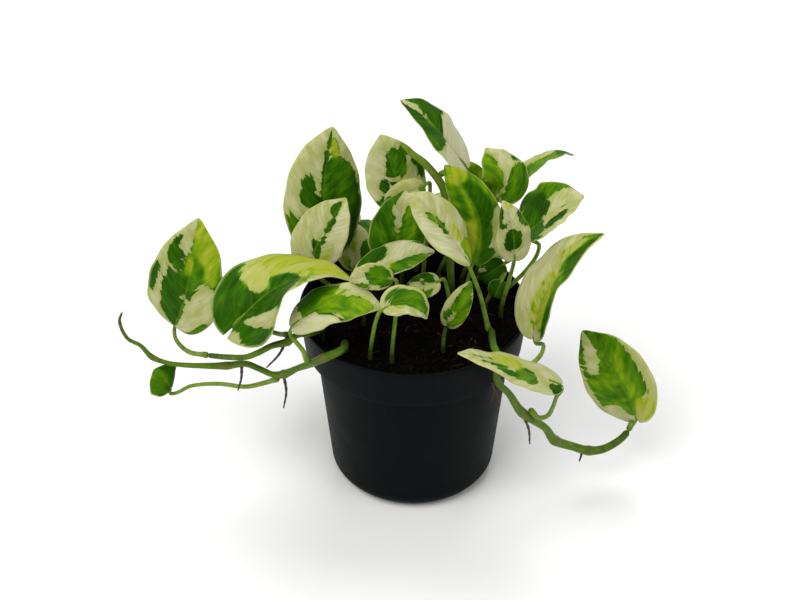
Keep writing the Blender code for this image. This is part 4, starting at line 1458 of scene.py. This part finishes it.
class Graph:
    """Adds shader nodes to one new material and joins them up."""

    def __init__(self, name: str) -> None:
        """A new material with one Principled shader.

        Args:
            name: The material's name.
        """
        self.material = bpy.data.materials.new(name)
        self.material.use_nodes = True
        self.tree = self.material.node_tree
        self.shader = self.tree.nodes["Principled BSDF"]
        self.shader.inputs["Metallic"].default_value = 0.0

    def put(self, node: bpy.types.Node, key: str | int, value: Value) -> None:
        """Joins a socket to a node's input, or sets the input to a plain value.

        Args:
            node: The node.
            key: The name or number of its input.
            value: The socket or the plain value.
        """
        if isinstance(value, Socket):
            self.tree.links.new(value, node.inputs[key])
        else:
            node.inputs[key].default_value = value

    def node(self, kind: str, inputs: dict[str | int, Value], **settings: str | bool) -> bpy.types.Node:
        """A new node.

        Args:
            kind: Its kind.
            inputs: What goes into each of its inputs.
            **settings: Its settings.

        Returns:
            The node.
        """
        made = self.tree.nodes.new("ShaderNode" + kind)
        for key, value in settings.items():
            setattr(made, key, value)
        for key, value in inputs.items():
            self.put(made, key, value)
        return made

    def number(self, name: str) -> Socket:
        """The piece's own value of that name."""
        return self.node("Attribute", {}, attribute_name=name).outputs["Fac"]

    def triple(self, name: str) -> list[Socket]:
        """The three parts of the piece's own vector of that name."""
        vector = self.node("Attribute", {}, attribute_name=name).outputs["Vector"]
        return list(self.node("SeparateXYZ", {0: vector}).outputs)

    def place(self) -> Socket:
        """The point in the object's own coordinates."""
        return self.node("TexCoord", {}).outputs["Object"]

    def math(self, operation: str, *values: Value) -> Socket:
        """One sum, product or the like."""
        return self.node("Math", dict(enumerate(values)), operation=operation).outputs[0]

    def plus(self, first: Value, *others: Value) -> Socket:
        """The sum of the values."""
        return reduce(lambda total, value: self.math("ADD", total, value), others, first)

    def times(self, first: Value, second: Value) -> Socket:
        """The product of two values."""
        return self.math("MULTIPLY", first, second)

    def less(self, value: Value, whole: float = 1.0) -> Socket:
        """What the value leaves of the whole."""
        return self.math("SUBTRACT", whole, value)

    def eased(self, value: Value, low: float, high: float) -> Socket:
        """The value turned smoothly from 0 at low to 1 at high."""
        sockets = {"Value": value, "From Min": low, "From Max": high}
        return self.node("MapRange", sockets, interpolation_type="SMOOTHSTEP").outputs["Result"]

    def vector(self, *parts: Value) -> Socket:
        """A vector of three values."""
        return self.node("CombineXYZ", dict(enumerate(parts))).outputs[0]

    def weave(self, grain: Sequence[Socket], closeness: tuple[float, float]) -> Socket:
        """The grain made so close across and along the piece, where its seed stays."""
        across, along, seed = grain
        return self.vector(self.times(across, closeness[0]), self.times(along, closeness[1]), seed)

    def noise(self, vector: Value, scale: float, detail: float = PLAIN) -> Socket:
        """Smooth noise about one half."""
        sockets = {"Vector": vector, "Scale": scale, "Detail": detail, "Roughness": NOISE_ROUGHNESS}
        return self.node("TexNoise", sockets).outputs[0]

    def sway(self, vector: Value, scale: float, size: float, detail: float = PLAIN) -> Socket:
        """Smooth noise about zero, so far to either side."""
        return self.times(self.math("SUBTRACT", self.noise(vector, scale, detail), 0.5), 2.0 * size)

    def patchy(self, vector: Value, scale: float, ends: tuple, detail: float = PLAIN) -> Socket:
        """Smooth noise drawn out to patches: 0 below the first of the ends, 1 above the second."""
        return self.eased(self.noise(vector, scale, detail), *ends)

    def mix(self, part: Value, first: Socket | Color, second: Socket | Color) -> Socket:
        """The first colour turned by that part to the second.

        Args:
            part: From 0, all first, to 1, all second.
            first: A colour.
            second: Another colour.

        Returns:
            The colour between.
        """
        made = self.node("Mix", {0: part}, data_type="RGBA")
        for key, color in zip(MIX_COLORS, (first, second)):
            self.put(made, key, (*color, 1.0) if isinstance(color, tuple) else color)
        return made.outputs[MIX_RESULT]

    def coat(self, color: Socket, part: Value, over: Coat) -> Socket:
        """The colour with a coat over it, which lies fully where part is 1."""
        return self.mix(self.times(part, over.share), color, over.color)

    def ramp(self, value: Value, stops: Sequence[tuple[float, Color]]) -> Socket:
        """A colour picked from stops.

        Args:
            value: Where to pick.
            stops: Places and the colours there.

        Returns:
            The colour, straight from each stop to the next.
        """
        made = self.node("ValToRGB", {0: value})
        elements = made.color_ramp.elements
        while len(elements) < len(stops):
            elements.new(0.5)
        for element, (position, color) in zip(elements, stops):
            element.position = position
            element.color = (*color, 1.0)
        return made.outputs[0]

    def shine(self, level: float, tint: Color = WHITE) -> None:
        """Sets how strongly the surface reflects, and with what tint."""
        self.shader.inputs["Specular IOR Level"].default_value = level
        self.shader.inputs["Specular Tint"].default_value = (*tint, 1.0)

    def finish(self, color: Value, rough: Value, height: Value, depth: float) -> bpy.types.Material:
        """Joins colour, roughness and a raised surface of that depth to the shader.

        Args:
            color: The surface's colour.
            rough: Its roughness.
            height: The raised pattern, from 0 to 1.
            depth: How high the pattern stands, in millimetres.

        Returns:
            The material.
        """
        raised = {"Height": height, "Distance": depth * MM, "Strength": BUMP_STRENGTH}
        self.put(self.shader, "Base Color", color)
        self.put(self.shader, "Roughness", rough)
        self.put(self.shader, "Normal", self.node("Bump", raised).outputs[0])
        return self.material


@dataclass(frozen=True)
class LeafFinish:
    """Leaf tissue: jagged green patches in cream, veins, flecks, spots and a pale rim.

    A weave is how close a noise is across the blade and along its side veins, and a sway is a
    noise's scale and how far it goes to either side. Ends are where something begins and where it
    is full. fingers and nicks are how far the broad lobes and the fine fringe of a patch run out,
    in millimetres.
    """

    fingers: float = 2.6
    nicks: float = 0.55
    lobe_weave: tuple = (0.12, 0.3)
    streak_weave: tuple = (0.2, 0.6)
    fringe_weave: tuple = (0.5, 1.1)
    blotch_weave: tuple = (0.11, 0.09)
    blotch_sway: tuple = (1.3, 0.6)
    streak_sway: tuple = (1.2, 0.1)
    patch_ends: tuple = (-0.28, 0.28)
    greens: tuple = (
        (0.0, (0.008, 0.05, 0.001)),
        (0.3, (0.022, 0.105, 0.001)),
        (0.55, (0.075, 0.2, 0.002)),
        (0.8, (0.2, 0.32, 0.005)),
        (1.0, (0.34, 0.38, 0.025)),
    )
    grey_cream: Color = (0.36, 0.38, 0.12)
    cream: Color = (0.49, 0.485, 0.26)
    cloud_scale: float = 0.16
    cloud_ends: tuple = (0.35, 0.65)
    lime: Coat = Coat(0.7, (0.42, 0.43, 0.055))
    lime_ends: tuple = (0.35, 1.0)
    # Painted highlight: the whiter cream for top light on upward-facing cream
    highlight_cream: Color = (0.6, 0.58, 0.43)
    near_patch: Coat = Coat(0.35, (0.27, 0.34, 0.05))
    near_ends: tuple = (-2.4, 0.0)
    fleck: Coat = Coat(0.5, (0.2, 0.3, 0.03))
    fleck_scale: float = 2.4
    fleck_ends: tuple = (0.63, 0.7)
    fleck_zone: tuple = (-6.5, -1.0)
    line_on_green: Coat = Coat(0.14, (0.13, 0.27, 0.01))
    line_on_cream: Coat = Coat(0.1, (0.25, 0.3, 0.08))
    line_sway: tuple = (1.0, 0.3)
    line_ends: tuple = (0.02, 0.14)
    line_fade: tuple = (0.6, 0.95)
    line_depth: float = -0.5
    rib_on_green: Coat = Coat(0.4, (0.17, 0.3, 0.02))
    rib_on_cream: Coat = Coat(0.4, (0.26, 0.33, 0.07))
    rib_ends: tuple = (0.25, 0.75)
    rib_fade: float = 1.1
    spot: Coat = Coat(0.75, (0.14, 0.08, 0.02))
    spot_scale: float = 0.19
    spot_ends: tuple = (0.03, 0.08)
    spot_chance: tuple = (0.74, 0.75)
    lip: Coat = Coat(0.6, (0.45, 0.5, 0.15))
    lip_sway: tuple = (1.0, 0.03)
    lip_ends: tuple = (0.93, 0.985)
    underside: Coat = Coat(0.3, (0.3, 0.36, 0.13))
    gloss: float = 0.42
    gloss_sway: tuple = (0.6, 0.08)
    duller_below: float = 0.2
    grain_scale: float = 1.6
    grain_depth: float = 0.25
    glow: float = 0.12
    glow_radius: Color = (0.9, 1.0, 0.4)
    glow_scale: float = 0.0015
    shine: float = 0.11
    shine_tint: Color = (0.85, 1.0, 0.25)

    def make(self) -> bpy.types.Material:
        """The material, which reads the blade's depth, tone, grain and form.

        Returns:
            The material.
        """
        g = Graph("leaf_tissue")
        grain = g.triple("grain")
        along, rim, phase = g.triple("form")
        tone, below = g.number("tone"), g.number("below")
        flat = g.vector(*grain)
        lobes, streaks = g.weave(grain, self.lobe_weave), g.weave(grain, self.streak_weave)
        fringe, blotches = g.weave(grain, self.fringe_weave), g.weave(grain, self.blotch_weave)
        nicks = g.sway(fringe, 1.0, self.nicks, FINE)
        edge = g.plus(g.number("depth"), g.sway(lobes, 1.0, self.fingers), nicks)
        shade = g.plus(tone, g.sway(blotches, *self.blotch_sway), g.sway(streaks, *self.streak_sway))
        leafy = g.ramp(shade, self.greens)
        pale = self.pale(g, flat, fringe, tone, edge)
        line = self.line(g, phase, streaks, rim)
        rib = g.less(g.eased(g.math("ABSOLUTE", grain[0]), *self.rib_ends))
        rib = g.times(rib, g.less(along, self.rib_fade))
        leafy = g.coat(g.coat(leafy, line, self.line_on_green), rib, self.rib_on_green)
        pale = g.coat(g.coat(pale, line, self.line_on_cream), rib, self.rib_on_cream)
        color = g.mix(g.eased(edge, *self.patch_ends), pale, leafy)
        color = g.coat(color, self.spots(g, flat), self.spot)
        lip = g.eased(g.plus(rim, g.sway(fringe, *self.lip_sway)), *self.lip_ends)
        color = g.coat(g.coat(color, lip, self.lip), below, self.underside)
        duller = g.times(below, self.duller_below)
        rough = g.plus(self.gloss, duller, g.sway(flat, *self.gloss_sway))
        height = g.plus(g.times(line, self.line_depth), g.noise(fringe, self.grain_scale, FINE))
        g.shader.inputs["Subsurface Weight"].default_value = self.glow
        g.shader.inputs["Subsurface Radius"].default_value = self.glow_radius
        g.shader.inputs["Subsurface Scale"].default_value = self.glow_scale
        g.shine(self.shine, self.shine_tint)
        return g.finish(color, rough, height, self.grain_depth)

    def pale(self, g: Graph, flat: Socket, fringe: Socket, tone: Socket, edge: Socket) -> Socket:
        """The cream's colour.

        Args:
            g: The material's nodes.
            flat: The blade's grain as it is.
            fringe: The grain of the patches' fringe.
            tone: The tone there.
            edge: How far inside green the point is.

        Returns:
            Clouded cream: lime where the tone is high, whitened by a painted highlight where it is
            below 0, greener near a green patch and flecked about it.
        """
        clouds = g.patchy(flat, self.cloud_scale, self.cloud_ends, FINE)
        pale = g.mix(clouds, self.grey_cream, self.cream)
        pale = g.coat(pale, g.eased(tone, *self.lime_ends), self.lime)
        # Painted highlight: cream turns whiter where the tone is below 0
        pale = g.mix(g.eased(g.times(tone, -1.0), 0.0, 1.0), pale, self.highlight_cream)
        pale = g.coat(pale, g.eased(edge, *self.near_ends), self.near_patch)
        flecks = g.patchy(fringe, self.fleck_scale, self.fleck_ends, FINE)
        return g.coat(pale, g.times(flecks, g.eased(edge, *self.fleck_zone)), self.fleck)

    def line(self, g: Graph, phase: Socket, streaks: Socket, rim: Socket) -> Socket:
        """Thin lines where the side veins run.

        Args:
            g: The material's nodes.
            phase: A whole number on each side vein.
            streaks: The grain that they wander by.
            rim: How near the rim the point is.

        Returns:
            1 on a line and 0 off it, and less and less toward the rim.
        """
        turn = g.math("FRACT", g.plus(phase, 0.5, g.sway(streaks, *self.line_sway)))
        off = g.math("ABSOLUTE", g.math("SUBTRACT", turn, 0.5))
        return g.times(g.less(g.eased(off, *self.line_ends)), g.less(g.eased(rim, *self.line_fade)))

    def spots(self, g: Graph, flat: Socket) -> Socket:
        """A few small brown spots.

        Args:
            g: The material's nodes.
            flat: The blade's grain as it is.

        Returns:
            1 in a spot and 0 outside. One cell out of many has one, in its middle.
        """
        cells = g.node("TexVoronoi", {"Vector": flat, "Scale": self.spot_scale})
        chance = g.node("SeparateColor", {0: cells.outputs["Color"]}).outputs[0]
        dot = g.less(g.eased(cells.outputs["Distance"], *self.spot_ends))
        return g.times(dot, g.eased(chance, *self.spot_chance))


@dataclass(frozen=True)
class StemFinish:
    """Green stalks and stems: streaks along them, scarred joints, painted shade at their feet by the
    peat and a darker far end.
    """

    name: str
    young: Color
    old: Color
    end: Coat = Coat(0.0, (0.03, 0.05, 0.015))
    end_ends: tuple = (0.75, 1.05)
    streak_weave: tuple = (2.4, 0.12)
    mottle_weave: tuple = (1.0, 0.6)
    age_sway: tuple = (1.0, 0.4)
    age_ends: tuple = (0.1, 0.9)
    streak: Coat = Coat(0.5, (0.24, 0.34, 0.03))
    streak_scale: float = 1.3
    streak_ends: tuple = (0.45, 0.8)
    mottle: Coat = Coat(0.6, (0.035, 0.085, 0.008))
    mottle_scale: float = 0.35
    mottle_ends: tuple = (0.45, 0.75)
    scar: Coat = Coat(0.5, (0.14, 0.11, 0.035))
    scar_ends: tuple = (0.35, 0.9)
    # Painted shade: the near black laid over stalks and stems low by the peat
    soil: Coat = Coat(0.9, (0.012, 0.016, 0.004))
    shade_sway: tuple = (1.0, 0.3)
    shade_ends: tuple = (0.1, 1.0)
    gloss: float = 0.42
    gloss_sway: tuple = (1.3, 0.1)
    grain_scale: float = 3.0
    grain_depth: float = 0.15
    shine: float = 0.16
    shine_tint: Color = (0.85, 1.0, 0.5)

    def make(self) -> bpy.types.Material:
        """The material, which reads the stem's grain, run, scars and damp.

        Returns:
            The material.
        """
        g = Graph(self.name)
        grain = g.triple("grain")
        streaks, mottle = g.weave(grain, self.streak_weave), g.weave(grain, self.mottle_weave)
        part = g.plus(g.number("run"), g.sway(mottle, *self.age_sway))
        color = g.mix(g.eased(part, *self.age_ends), self.old, self.young)
        color = g.coat(color, g.patchy(streaks, self.streak_scale, self.streak_ends), self.streak)
        color = g.coat(color, g.patchy(mottle, self.mottle_scale, self.mottle_ends), self.mottle)
        color = g.coat(color, g.eased(part, *self.end_ends), self.end)
        color = g.coat(color, g.eased(g.number("scar"), *self.scar_ends), self.scar)
        # Painted shade: stalks and stems turn near black low by the peat
        damp = g.eased(g.plus(g.number("damp"), g.sway(mottle, *self.shade_sway)), *self.shade_ends)
        color = g.coat(color, damp, self.soil)
        rough = g.plus(self.gloss, g.sway(mottle, *self.gloss_sway))
        g.shine(self.shine, self.shine_tint)
        return g.finish(color, rough, g.noise(streaks, self.grain_scale), self.grain_depth)


@dataclass(frozen=True)
class RootFinish:
    """Dry roots with a flaking skin, in three colours from dark to light."""

    name: str
    colors: tuple[Color, Color, Color]
    stops: tuple = (0.3, 0.6, 0.8)
    bark_weave: tuple = (1.5, 1.0)
    bark_scale: float = 1.2
    rough: float = 0.8
    grain_scale: float = 2.0
    grain_depth: float = 0.3

    def make(self) -> bpy.types.Material:
        """The material, which reads the root's grain.

        Returns:
            The material.
        """
        g = Graph(self.name)
        bark = g.weave(g.triple("grain"), self.bark_weave)
        color = g.ramp(g.noise(bark, self.bark_scale), tuple(zip(self.stops, self.colors)))
        return g.finish(color, self.rough, g.noise(bark, self.grain_scale), self.grain_depth)


@dataclass(frozen=True)
class PeatFinish:
    """Moist peat: near black with rusty patches, dull and rough.

    Crumbs and fibres take their colours from loose_colors, by their own tone and by where they
    lie.
    """

    black: Color = (0.0008, 0.0006, 0.0005)
    rust: Color = (0.005, 0.002, 0.0012)
    rust_scale: float = 55.0
    rust_ends: tuple = (0.48, 0.66)
    speck: Color = (0.008, 0.004, 0.0025)
    speck_scale: float = 420.0
    speck_ends: tuple = (0.5, 0.75)
    lump_scale: float = 500.0
    grain_scale: float = 1600.0
    grain_depth: float = 0.9
    rough: float = 0.95
    shine: float = 0.05
    loose_colors: tuple = (
        (0.0, (0.0008, 0.0006, 0.0005)),
        (0.35, (0.003, 0.0015, 0.001)),
        (0.55, (0.01, 0.004, 0.002)),
        (1.0, (0.07, 0.045, 0.025)),
    )
    loose_tone: float = 0.5
    loose_sway: tuple = (700.0, 0.12, FINE)
    loose_scale: float = 1500.0
    loose_depth: float = 0.4
    loose_rough: float = 0.92
    loose_shine: float = 0.08

    def make(self) -> bpy.types.Material:
        """The material of the plug, which reads object coordinates.

        Returns:
            The material.
        """
        g = Graph("peat_mass")
        place = g.place()
        color = g.mix(g.patchy(place, self.rust_scale, self.rust_ends), self.black, self.rust)
        color = g.mix(g.patchy(place, self.speck_scale, self.speck_ends, FINEST), color, self.speck)
        height = g.plus(g.noise(place, self.lump_scale, FINEST), g.noise(place, self.grain_scale, FINE))
        g.shine(self.shine)
        return g.finish(color, self.rough, height, self.grain_depth)

    def loose(self) -> bpy.types.Material:
        """The material of crumbs and fibres, which reads each one's own tone.

        Returns:
            The material.
        """
        g = Graph("peat_loose")
        place = g.place()
        shade = g.plus(g.times(g.number("tone"), self.loose_tone), g.sway(place, *self.loose_sway))
        g.shine(self.loose_shine)
        height = g.noise(place, self.loose_scale, FINE)
        return g.finish(g.ramp(shade, self.loose_colors), self.loose_rough, height, self.loose_depth)


@dataclass(frozen=True)
class PotFinish:
    """Black moulded plastic: faintly blue, satin, with a fine grain and some dust."""

    black: Color = (0.0025, 0.0038, 0.004)
    grime: Color = (0.005, 0.0065, 0.0065)
    grime_scale: float = 38.0
    grime_ends: tuple = (0.55, 0.85)
    dust: Coat = Coat(0.25, (0.05, 0.045, 0.04))
    dust_scale: float = 900.0
    dust_ends: tuple = (0.7, 0.76)
    gloss: float = 0.5
    gloss_sway: tuple = (60.0, 0.1)
    duller_grime: float = 0.15
    grain_scale: float = 1500.0
    grain_depth: float = 0.12
    wave_scale: float = 120.0
    wave_share: float = 1.5
    shine: float = 0.04
    shine_tint: Color = (0.8, 1.0, 0.98)

    def make(self) -> bpy.types.Material:
        """The material, which reads object coordinates.

        Returns:
            The material.
        """
        g = Graph("pot_plastic")
        place = g.place()
        grime = g.patchy(place, self.grime_scale, self.grime_ends, FINEST)
        color = g.mix(grime, self.black, self.grime)
        color = g.coat(color, g.patchy(place, self.dust_scale, self.dust_ends), self.dust)
        duller = g.times(grime, self.duller_grime)
        rough = g.plus(self.gloss, g.sway(place, *self.gloss_sway), duller)
        waves = g.times(g.noise(place, self.wave_scale), self.wave_share)
        g.shine(self.shine, self.shine_tint)
        return g.finish(color, rough, g.plus(g.noise(place, self.grain_scale), waves), self.grain_depth)


@dataclass(frozen=True)
class FloorFinish:
    """A plain pale paper floor."""

    shade: Color = (0.9, 0.9, 0.9)
    light: Color = (0.93, 0.93, 0.93)
    shade_scale: float = 4.0
    rough: float = 0.9
    grain_scale: float = 600.0
    grain_depth: float = 0.05

    def make(self) -> bpy.types.Material:
        """The material, which reads object coordinates.

        Returns:
            The material.
        """
        g = Graph("floor_paper")
        place = g.place()
        color = g.mix(g.noise(place, self.shade_scale), self.shade, self.light)
        return g.finish(color, self.rough, g.noise(place, self.grain_scale), self.grain_depth)


@dataclass(frozen=True)
class Lamp:
    """One soft square light: where it stands, how wide it is and how strong."""

    name: str
    place: Place
    size: float
    power: float
    color: Color = WHITE


@dataclass(frozen=True)
class Studio:
    """A pale floor, an even sky, soft lights and the photograph's camera, in metres."""

    sky: float = 0.37
    backdrop: float = 0.97
    floor_reach: float = 14.0
    target: Place = (0.0, 0.0, 0.12)
    nearest: float = 0.05
    farthest: float = 20.0
    lamps: tuple[Lamp, ...] = (
        Lamp("key_left", (-3.0, -3.0, 6.0), 5.0, 360.0, (1.0, 0.99, 0.96)),
        Lamp("fill_right", (4.75, -2.25, 4.0), 4.0, 75.0, (0.97, 0.99, 1.0)),
        Lamp("top_back", (0.5, 3.0, 6.0), 3.5, 205.0),
    )

    def floor(self) -> None:
        """A wide level floor under the pot."""
        mesh = bpy.data.meshes.new("studio_floor")
        corners = self.floor_reach * np.array([(-1, -1, 0), (1, -1, 0), (1, 1, 0), (-1, 1, 0)])
        mesh.from_pydata(corners, [], [(0, 1, 2, 3)])
        mesh.materials.append(FloorFinish().make())
        linked("studio_floor", mesh)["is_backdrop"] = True

    def light(self) -> None:
        """The lamps, each turned toward the leaves."""
        for lamp in self.lamps:
            data = bpy.data.lights.new(lamp.name, "AREA")
            data.size = lamp.size
            data.energy = lamp.power
            data.color = lamp.color
            thing = linked(lamp.name, data)
            thing.location = lamp.place
            toward = Vector(self.target) - Vector(lamp.place)
            thing.rotation_euler = toward.to_track_quat("-Z", "Y").to_euler()

    def open_sky(self) -> None:
        """The even white sky, which the camera sees as a paler backdrop."""
        world = bpy.data.worlds.new("studio_sky")
        world.use_nodes = True
        tree = world.node_tree
        sky = tree.nodes["Background"]
        sky.inputs["Color"].default_value = (*WHITE, 1.0)
        path = tree.nodes.new("ShaderNodeLightPath")
        strength = tree.nodes.new("ShaderNodeMapRange")
        strength.inputs["To Min"].default_value = self.sky
        strength.inputs["To Max"].default_value = self.backdrop
        tree.links.new(path.outputs["Is Camera Ray"], strength.inputs["Value"])
        tree.links.new(strength.outputs["Result"], sky.inputs["Strength"])
        bpy.context.scene.world = world

    def camera(self) -> None:
        """The camera at the fitted eye, looking down by the view's tilt."""
        data = bpy.data.cameras.new("photo_camera")
        data.lens = LENS
        data.sensor_width = SENSOR
        data.clip_start = self.nearest
        data.clip_end = self.farthest
        thing = linked("photo_camera", data)
        thing.location = EYE * MM
        thing.rotation_euler = (pi / 2 - VIEW_TILT, 0.0, 0.0)
        bpy.context.scene.camera = thing

    def build(self) -> None:
        """Floor, lights, sky, camera and plain colour handling."""
        self.floor()
        self.light()
        self.open_sky()
        self.camera()
        settings = bpy.context.scene.view_settings
        settings.view_transform = "Standard"
        settings.look = "None"
        settings.exposure = 0.0
        LOG.info("studio: floor, %d lamps and camera", len(self.lamps))


ROOT_BROWN = RootFinish("root_brown", ((0.02, 0.014, 0.01), (0.06, 0.04, 0.024), (0.15, 0.11, 0.07)))
THREAD_RUSTY = RootFinish(
    "thread_rusty", ((0.05, 0.015, 0.004), (0.1, 0.035, 0.01), (0.16, 0.07, 0.025))
)
STEM_GREEN = StemFinish(
    "stem_green",
    young=(0.085, 0.16, 0.008),
    old=(0.06, 0.13, 0.008),
    end=Coat(0.7, (0.03, 0.05, 0.015)),
)
SHOOT_GREEN = StemFinish("shoot_green", young=(0.16, 0.25, 0.02), old=(0.12, 0.2, 0.02))
STALK_GREEN = StemFinish("stalk_green", young=(0.13, 0.23, 0.015), old=(0.19, 0.27, 0.045))


def main() -> None:
    """Builds the pot, the peat, the stems and the leaves, and the studio round them."""
    logging.basicConfig(level=logging.INFO, format="%(message)s")
    PotBuilder().build(PotFinish().make())
    peat = PeatFinish()
    SoilBuilder().build(peat.make(), peat.loose())
    stem, shoot = STEM_GREEN.make(), SHOOT_GREEN.make()
    root, thread = ROOT_BROWN.make(), THREAD_RUSTY.make()
    for number, (name, vine) in enumerate(VINES.items()):
        bark = shoot if name == "shoot_tall" else stem
        VineBuilder(name, vine, VINE_SEED + VINE_SEED_STEP * number).build((bark, root, thread))
    tissue, stalk = LeafFinish().make(), STALK_GREEN.make()
    slots = {part["node"]: part["material_slot"] for part in frame["record"]["subparts"]}
    for number, (name, leaf) in enumerate(LEAVES.items()):
        LeafBuilder(name, leaf, LEAF_SEED_STEP * number).build((tissue, stalk), slots[name])
    Studio().build()
    boxes = {"cad": CAD_BOUNDS, "visual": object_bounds()}
    {key: [list(corner) for corner in box] for key, box in boxes.items()}


if __name__ == "__main__":
    main()
